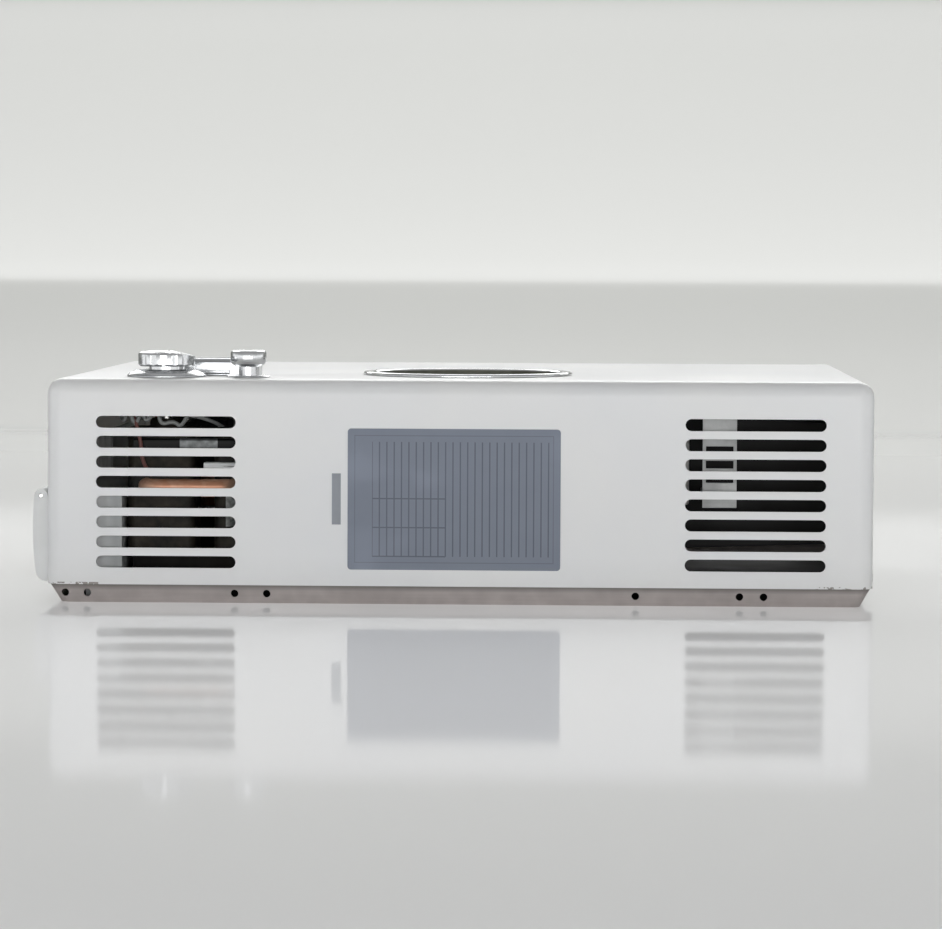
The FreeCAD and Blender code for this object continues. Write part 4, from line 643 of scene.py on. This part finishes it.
def wound(name, material, at, direction, turns, start, end, length, wire, sides=8, steps=40):
    """A wound wire that starts at a point and runs along a direction, sizes in metres."""
    tree, first, last = group_tree(name + "_winding", WOUND_INPUTS)
    spiral = add(tree, "GeometryNodeCurveSpiral", {
        "Resolution": first.outputs["Steps"], "Rotations": first.outputs["Turns"],
        "Start Radius": first.outputs["Start Radius"], "End Radius": first.outputs["End Radius"],
        "Height": first.outputs["Length"]})
    ring = add(tree, "GeometryNodeCurvePrimitiveCircle", {
        "Resolution": first.outputs["Sides"], "Radius": first.outputs["Wire Radius"]}, mode="RADIUS")
    wire_mesh = add(tree, "GeometryNodeCurveToMesh", {
        "Curve": spiral.outputs[0], "Profile Curve": ring.outputs["Curve"], "Fill Caps": True})
    closed_tree(tree, wire_mesh.outputs[0], material, last)
    mesh = grown(name, tree, {"Turns": float(turns), "Start Radius": start, "End Radius": end,
                              "Length": length, "Wire Radius": wire, "Sides": sides, "Steps": steps})
    turned = Vector(direction).to_track_quat("Z", "Y").to_matrix().to_4x4()
    mesh.transform(Matrix.Translation(Vector(at)) @ turned)
    shade = bmesh.new()
    shade.from_mesh(mesh)
    shaded(shade)
    shade.to_mesh(mesh)
    shade.free()
    piece = bpy.data.objects.new(name, mesh)
    bpy.context.scene.collection.objects.link(piece)
    return piece


# The three unions at the bottom end: two half-inch pipe threads for water and a 5/8 inch flare thread for
# gas. The CAD's plain cylinder is turned down to each thread's root, and the ridge is wound on it. Inside,
# the bores are painted darker with depth, a painted shade.
bore_brass, tree, shader = new_material("brass_bore_painted_shade", "#5A4522", 0.6, 0.6)
# painted shade: the bore goes from brass to near black deeper in
depth = spread(tree, axis_of(tree, "X"), -0.2035, -0.192)
tree.links.new(mixed(tree, depth, "#8A6A34", "#0E0B06"), shader.inputs["Base Color"])
varied(tree, shader, object_noise(tree, 400.0, 3.0), 0.5, 0.7)
FITTING_END = -0.204
FITTING_Z = 0.035
THREAD_LENGTH = 0.0235
UNIONS = (
    ("cold_inlet", 0.067, 0.01048, 0.00932, 0.001814, THREAD_LENGTH, 0.007),
    ("hot_outlet", 0.112, 0.01048, 0.00932, 0.001814, THREAD_LENGTH, 0.007),
    ("gas_inlet", 0.022, 0.00794, 0.00710, 0.001411, 0.0225, 0.004),
)
for node, y, major, root, pitch, length, bore in UNIONS:
    mesh = merged(node)
    for vertex in mesh.verts:
        out = Vector((vertex.co.y - y, vertex.co.z - FITTING_Z))
        if vertex.co.x < FITTING_END + length + 0.0001 and out.length > root:
            out = out.normalized() * root
            vertex.co.y, vertex.co.z = y + out.x, FITTING_Z + out.y
    shaded(mesh)
    for face in mesh.faces:
        reach = max(math.hypot(v.co.y - y, v.co.z - FITTING_Z) for v in face.verts)
        face.material_index = int(reach < bore + 0.0002)
    piece = piece_of(node + "_finished", mesh, brass, bore_brass)
    softened(piece, 0.0002)
    dressed(piece, node)
    ridge = (major - root) / 1.5
    turns = int((length - 2.2 * pitch) / pitch)
    start = FITTING_END + 1.1 * pitch
    thread = wound(node + "_thread", brass, (start, y, FITTING_Z), (1, 0, 0), turns,
                   major - ridge, major - ridge, turns * pitch, ridge, 3, 48)
    added(thread, "casing")

# The gas poppet's return spring: 6 turns of 1 mm wire between the plug and the poppet.
SPRING_START = (-0.1455, -0.113, 0.040)
SPRING_LENGTH = 0.0149
SPRING_WIRE = 0.0005
spring_steel, tree, shader = new_material("drawn_spring_steel", "#A9A9A6", 0.3, 1.0)
drawn = object_noise(tree, 800.0, 2.0)
toned(tree, shader, drawn, "#9B9B98", "#B8B8B5")
varied(tree, shader, drawn, 0.24, 0.40)
spring = wound("poppet_spring_coil", spring_steel,
               (SPRING_START[0] + SPRING_WIRE, SPRING_START[1], SPRING_START[2]), (1, 0, 0),
               6, 0.0045, 0.0045, SPRING_LENGTH - 2 * SPRING_WIRE, SPRING_WIRE)
dressed(spring, "poppet_spring")
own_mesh(spring)

# Two conical contact springs, each three turns of drawn wire. The near one lies on its contact's cone and is
# mostly sunk in it. Known fault: the far one lies wholly inside the far cell, where no contact is.
for y, way, label in ((-0.1324, 1, "near"), (-0.0676, 1, "far")):
    coil = wound("contact_spring_" + label, spring_steel, (-0.1713, y + way * 0.0005, 0.0272), (0, way, 0),
                 3, 0.0084, 0.0052, 0.0028, 0.0004)
    added(coil, "casing")

# The gas solenoid: a moulded black nylon bobbin with a plunger end. Its coil of enamelled copper wire shows
# between the two flanges.
nylon, tree, shader = new_material("black_moulded_nylon", "#1F2022", 0.5)
texture = object_noise(tree, 1200.0, 2.0)
toned(tree, shader, texture, "#1A1B1D", "#28292B")
varied(tree, shader, texture, 0.44, 0.60)
bumped(tree, shader, texture, 0.3, 0.00003)
enamelled, tree, shader = new_material("enamelled_copper_wire", "#8C3B22", 0.25, 0.7)
lacquer = object_noise(tree, 300.0, 3.0)
toned(tree, shader, lacquer, "#6F2C18", "#9C4A2C")
varied(tree, shader, lacquer, 0.18, 0.34)
SOLENOID_AT = Vector((-0.135, -0.097, 0.062))
BOBBIN = ((0.0, 0.0), (0.0, 0.010), (0.0018, 0.010), (0.0018, 0.0084), (0.0242, 0.0084), (0.0242, 0.010),
          (0.026, 0.010), (0.026, 0.004), (0.030, 0.004), (0.030, 0.0))
BOBBIN_STEPS = 40


def build_bobbin(mesh):
    rings = []
    for along, radius in BOBBIN:
        ring = []
        for i in range(BOBBIN_STEPS if radius else 1):
            a = 2 * math.pi * i / BOBBIN_STEPS
            out = Vector((radius * math.cos(a), along, radius * math.sin(a)))
            ring.append(mesh.verts.new(SOLENOID_AT + out))
        rings.append(ring)
    for one, two in zip(rings, rings[1:]):
        for i in range(BOBBIN_STEPS):
            corners = [one[i % len(one)], one[(i + 1) % len(one)], two[(i + 1) % len(two)], two[i % len(two)]]
            mesh.faces.new(list(dict.fromkeys(corners)))
    bmesh.ops.recalc_face_normals(mesh, faces=mesh.faces)
    shaded(mesh)


bobbin = mesh_object("solenoid_bobbin", build_bobbin)
bobbin.data.materials.append(nylon)
softened(bobbin, 0.0002)
dressed(bobbin, "gas_solenoid")
winding = wound("solenoid_winding", enamelled, SOLENOID_AT + Vector((0, 0.0022, 0)), (0, 1, 0),
                34, 0.0086, 0.0086, 0.0216, 0.00032, 6, 32)
added(winding, "casing")

# More black moulded nylon: the igniter's case and the overheat switch. The micro switch is of the same nylon
# above and pale below.
for node in ("igniter_module", "overheat_switch"):
    finished(node, nylon, 0.0006, 3)
switch_case, tree, shader = new_material("two_tone_switch_case", "#1F2022", 0.45)
texture = object_noise(tree, 1200.0, 2.0)
pale_base = math_of(tree, "LESS_THAN", axis_of(tree, "Z"), 0.0632)
tree.links.new(mixed(tree, pale_base, mixed(tree, texture, "#1A1B1D", "#26272A"), "#DADCDC"),
               shader.inputs["Base Color"])
varied(tree, shader, texture, 0.38, 0.52)
finished("micro_switch", switch_case, 0.0004)

# Die-cast valve bodies and manifold: a pebbled skin, dark in part from heat and handling and in part as a
# painted shade for the inside of the case, that is pale in one patch on the water valve's body.
def casting_finish(name, pale_x, pale_z):
    made, tree, shader = new_material(name, "#3C3C3A", 0.6, 0.5)
    skin = object_noise(tree, 500.0, 4.0, 0.6)
    blotch = object_noise(tree, 90.0, 4.0, 0.65)
    cast = mixed(tree, spread(tree, blotch, 0.35, 0.7), "#161513", "#353027")
    # pale_x and pale_z give a paler patch on the water valve's body
    if pale_x:
        mask = math_of(tree, "MULTIPLY", within(tree, axis_of(tree, "X"), *pale_x),
                       within(tree, axis_of(tree, "Z"), *pale_z))
        pale_patch = mixed(tree, spread(tree, blotch, 0.4, 0.6), "#4E504F", "#A9ABA9")
        cast = mixed(tree, mask, cast, pale_patch)
    tree.links.new(cast, shader.inputs["Base Color"])
    varied(tree, shader, skin, 0.48, 0.68)
    bumped(tree, shader, skin, 0.5, 0.00012)
    return made


water_casting = casting_finish("water_valve_casting", (-0.1065, -0.083), (0.0335, 0.0505))
casting = casting_finish("dark_casting_and_shade", None, None)
finished("gas_valve_body", casting, 0.0008, 3)
finished("water_valve_body", water_casting, 0.0008, 3)
for node in ("diaphragm_cover", "gas_manifold"):
    finished(node, casting, 0.0008, 3)

# Screws with round heads: eight hold the diaphragm's cover to the water valve, and four the gas valve's
# top plate. Each row is one mesh of domed heads, grown from its points.
STUD_INPUTS = (("Half Size", "NodeSocketVector"),)


def studs(name, material, body, places, half_size):
    """Domed heads at a list of places, each with a half size along X, Y and Z, as one mesh."""
    tree, first, last = group_tree(name + "_row", STUD_INPUTS)
    ball = add(tree, "GeometryNodeMeshUVSphere", {"Segments": 14, "Rings": 8, "Radius": 1.0})
    dome = add(tree, "GeometryNodeTransform", {"Geometry": ball.outputs["Mesh"],
                                               "Scale": first.outputs["Half Size"]})
    row = add(tree, "GeometryNodeInstanceOnPoints", {"Points": first.outputs["Geometry"],
                                                     "Instance": dome.outputs[0]})
    closed_tree(tree, row.outputs[0], material, last)
    points = bpy.data.meshes.new(name + "_places")
    points.from_pydata([tuple(place) for place in places], [], [])
    mesh = grown(name, tree, {"Half Size": half_size}, points)
    for face in mesh.polygons:
        face.use_smooth = True
    piece = bpy.data.objects.new(name, mesh)
    bpy.context.scene.collection.objects.link(piece)
    added(piece, body)


SCREW_RING = 0.0118
COVER_SCREWS = 8
around = [2 * math.pi * (i + 0.5) / COVER_SCREWS for i in range(COVER_SCREWS)]
studs("diaphragm_screws", zinc_screw, "casing",
      [(-0.078, KNOB_Y + SCREW_RING * math.cos(a), 0.040 + SCREW_RING * math.sin(a)) for a in around],
      (0.0011, 0.0016, 0.0016))
studs("gas_valve_screws", zinc_screw, "casing",
      [(x, y, 0.082) for x in (-0.1475, -0.1245) for y in (-0.1235, -0.1005)], (0.0019, 0.0019, 0.0013))

# Five moulded grip ribs, 22 mm long and 2.6 mm apart, on the battery door's outer face above its free edge.
DOOR_FACE_X = -0.1935
GRIP_PITCH = 0.0026
studs("door_grip_ribs", abs_white, "door",
      [(DOOR_FACE_X, -0.0683, 0.0125 + GRIP_PITCH * i) for i in range(5)], (0.0006, 0.011, 0.0007))

# The flue hood and the inner heat shield: folded steel sheet in black stove enamel, its near black also a
# painted shade for the inside of the case. Heat has left it matt and chalky.
black_enamel_and_shade, tree, shader = new_material("black_enamel_and_painted_shade", "#141414", 0.62)
chalk = object_noise(tree, 55.0, 5.0, 0.65)
toned(tree, shader, chalk, "#0C0C0C", "#1C1B1A")
varied(tree, shader, chalk, 0.52, 0.76)
bumped(tree, shader, object_noise(tree, 900.0, 2.0), 0.06, 0.00002)
for node in ("flue_hood", "heat_shield"):
    finished(node, black_enamel_and_shade, 0.0003)

# The burner box and its flame bars: pressed aluminised steel, tinted straw and then blue by the flame towards
# the exchanger.
tinted, tree, shader = new_material("heat_tinted_steel", "#5E5A57", 0.42, 0.9)
tint = object_noise(tree, 35.0, 4.0)
heat = math_of(tree, "ADD", spread(tree, axis_of(tree, "X"), -0.075, -0.022),
               math_of(tree, "MULTIPLY", tint, 0.4))
warm = mixed(tree, spread(tree, heat, 0.5, 0.9), "#5A5653", "#7A6140")
tree.links.new(mixed(tree, spread(tree, heat, 0.95, 1.25), warm, "#3D4560"), shader.inputs["Base Color"])
varied(tree, shader, tint, 0.32, 0.54)
for node in ("burner_box", "burner_bars"):
    finished(node, tinted, 0.0002)

# The spark electrode and the flame sensor wear white glazed ceramic. The glaze is smooth and glossy, and its
# tone varies a little.
ceramic, tree, shader = new_material("glazed_ceramic", "#E9E6DE", 0.16)
glaze = object_noise(tree, 200.0, 2.0)
toned(tree, shader, glaze, "#E2DED3", "#EFEDE6")
varied(tree, shader, glaze, 0.10, 0.22)
for node in ("spark_electrode", "flame_sensor"):
    finished(node, ceramic, 0.0002)

# Drawn copper: bright pipes that have dulled in patches, and the exchanger's shell, fins, hot pipe and feed
# pipe, which are browned from brazing and flame.
copper, tree, shader = new_material("drawn_copper", "#E0AF92", 0.42, 0.5)
oxide = object_noise(tree, 38.0, 4.0, 0.6)
toned(tree, shader, oxide, "#CD9678", "#F2D0B6", 0.38, 0.62)
varied(tree, shader, oxide, 0.34, 0.5)
brown_copper, tree, shader = new_material("browned_copper", "#6B3B27", 0.42, 0.9)
oxide = object_noise(tree, 55.0, 5.0, 0.65)
toned(tree, shader, oxide, "#341C14", "#6E4230")
varied(tree, shader, oxide, 0.32, 0.56)
for node in ("valve_link_pipe", "manifold_pipe", "gas_pipe", "cold_pipe"):
    finished(node, copper, 0.0)
for node in ("heat_exchanger_shell", "exchanger_fins", "hot_pipe", "exchanger_feed_pipe"):
    finished(node, brown_copper, 0.0)

# The leads inside: silicone-covered wires, 1.8 mm thick, some of them behind the upper left vents. Known
# faults: switch_lead_one runs through the gas spindle, and both switch leads cut the water valve's body.
LEADS = (
    ("switch_lead_one", "#C9CCCB", [
        (-0.104, -0.0905, 0.0685), (-0.108, -0.1, 0.077), (-0.119, -0.122, 0.0835),
        (-0.133, -0.1225, 0.0845), (-0.143, -0.09, 0.0875), (-0.146, 0.02, 0.086),
        (-0.142, 0.1, 0.086), (-0.135, 0.118, 0.0825)]),
    ("switch_lead_two", "#1B1B1C", [
        (-0.094, -0.0905, 0.0685), (-0.1, -0.105, 0.08), (-0.113, -0.121, 0.0865),
        (-0.127, -0.118, 0.0885), (-0.138, -0.085, 0.0895), (-0.14, 0.02, 0.088),
        (-0.136, 0.1, 0.088), (-0.128, 0.118, 0.0825)]),
    ("solenoid_lead_one", "#B23A2E", [
        (-0.1405, -0.0715, 0.07), (-0.143, -0.066, 0.078), (-0.15, -0.035, 0.082),
        (-0.151, 0.04, 0.082), (-0.148, 0.1, 0.084), (-0.145, 0.118, 0.0825)]),
    ("battery_lead", "#B23A2E", [
        (-0.156, -0.03, 0.05), (-0.156, -0.022, 0.062), (-0.1545, 0.02, 0.078),
        (-0.153, 0.09, 0.084), (-0.151, 0.118, 0.0825)]),
    ("spark_lead", "#D8D6CF", [
        (-0.029, 0.08, 0.0965), (-0.04, 0.084, 0.0975), (-0.07, 0.105, 0.094),
        (-0.098, 0.122, 0.089), (-0.105, 0.124, 0.0825)]),
    ("spare_lead", "#8B8E8D", [
        (-0.1555, -0.118, 0.085), (-0.153, -0.13, 0.0795), (-0.15, -0.131, 0.0875),
        (-0.1478, -0.13, 0.0785), (-0.144, -0.1305, 0.0865), (-0.1425, -0.131, 0.08),
        (-0.137, -0.13, 0.0885), (-0.1362, -0.1308, 0.0795), (-0.13, -0.13, 0.0815),
        (-0.1262, -0.1312, 0.0785), (-0.1225, -0.13, 0.087), (-0.115, -0.124, 0.0875)]),
    ("valve_lead", "#6F3F3A", [
        (-0.152, -0.119, 0.088), (-0.148, -0.1305, 0.084), (-0.1447, -0.1315, 0.073),
        (-0.1442, -0.1315, 0.062), (-0.14, -0.1282, 0.0565)]),
)
LEAD_RADIUS = 0.0009


def tube_mesh(name, points):
    """A smooth round lead through its route's points, as a mesh."""
    curve = bpy.data.curves.new(name + "_route", "CURVE")
    curve.dimensions = "3D"
    curve.bevel_depth = LEAD_RADIUS
    curve.bevel_resolution = 3
    curve.resolution_u = 8
    curve.use_fill_caps = True
    spline = curve.splines.new("NURBS")
    spline.points.add(len(points) - 1)
    for point, place in zip(spline.points, points):
        point.co = (*place, 1.0)
    spline.order_u = 3
    spline.use_endpoint_u = True
    holder = bpy.data.objects.new(name, curve)
    bpy.context.scene.collection.objects.link(holder)
    bpy.context.view_layer.update()
    mesh = bpy.data.meshes.new_from_object(holder.evaluated_get(bpy.context.evaluated_depsgraph_get()))
    bpy.data.objects.remove(holder)
    return mesh


silicone = {}
for name, colour, points in LEADS:
    if colour not in silicone:
        made, tree, shader = new_material("silicone_lead_" + str(len(silicone) + 1), colour, 0.5)
        dust = object_noise(tree, 300.0, 3.0)
        tree.links.new(mixed(tree, math_of(tree, "MULTIPLY", dust, 0.3), colour, "#6B6862"),
                       shader.inputs["Base Color"])
        varied(tree, shader, dust, 0.42, 0.58)
        silicone[colour] = made
    lead = bpy.data.objects.new(name, tube_mesh(name, points))
    bpy.context.scene.collection.objects.link(lead)
    lead.data.materials.append(silicone[colour])
    for face in lead.data.polygons:
        face.use_smooth = True
    added(lead, "casing")

# The white nylon connector of the inner leads, in front of the water valve: a moulded block with a latch on
# its near face.
connector_nylon, tree, shader = new_material("white_nylon_connector", "#DFE1E1", 0.42)
toned(tree, shader, object_noise(tree, 150.0, 3.0), "#D5D7D7", "#E6E8E8")
varied(tree, shader, object_noise(tree, 600.0, 2.0), 0.36, 0.48)
CONNECTOR = ((-0.1160, -0.0970), (-0.1345, -0.1278), (0.0565, 0.0630))
LATCH = ((-0.1070, -0.1010), (-0.1365, -0.1345), (0.0580, 0.0615))


def build_blocks(mesh, blocks):
    for block in blocks:
        corners = [mesh.verts.new((x, y, z)) for x in block[0] for y in block[1] for z in block[2]]
        for face in ((0, 1, 3, 2), (4, 6, 7, 5), (0, 4, 5, 1), (2, 3, 7, 6), (0, 2, 6, 4), (1, 5, 7, 3)):
            mesh.faces.new([corners[i] for i in face])
    bmesh.ops.recalc_face_normals(mesh, faces=mesh.faces)
    shaded(mesh)


connector = mesh_object("lead_connector", lambda mesh: build_blocks(mesh, (CONNECTOR, LATCH)))
connector.data.materials.append(connector_nylon)
softened(connector, 0.0007, 3)
added(connector, "casing")

# A white ceramic-fibre strip on the flue hood's near side, seen at the left ends of the upper right vents.
# Its face is matted and slightly lumpy.
fibre, tree, shader = new_material("ceramic_fibre_strip", "#D9D8D4", 0.95)
matted = object_noise(tree, 260.0, 5.0, 0.7)
toned(tree, shader, matted, "#C4C3BE", "#E6E5E2")
bumped(tree, shader, matted, 0.6, 0.0004)
STRIP = ((0.0970, 0.1041), (-0.1035, -0.0953), (0.0430, 0.0765))
strip = mesh_object("hood_fibre_strip", lambda mesh: build_blocks(mesh, (STRIP,)))
strip.data.materials.append(fibre)
softened(strip, 0.0012, 3)
added(strip, "casing")
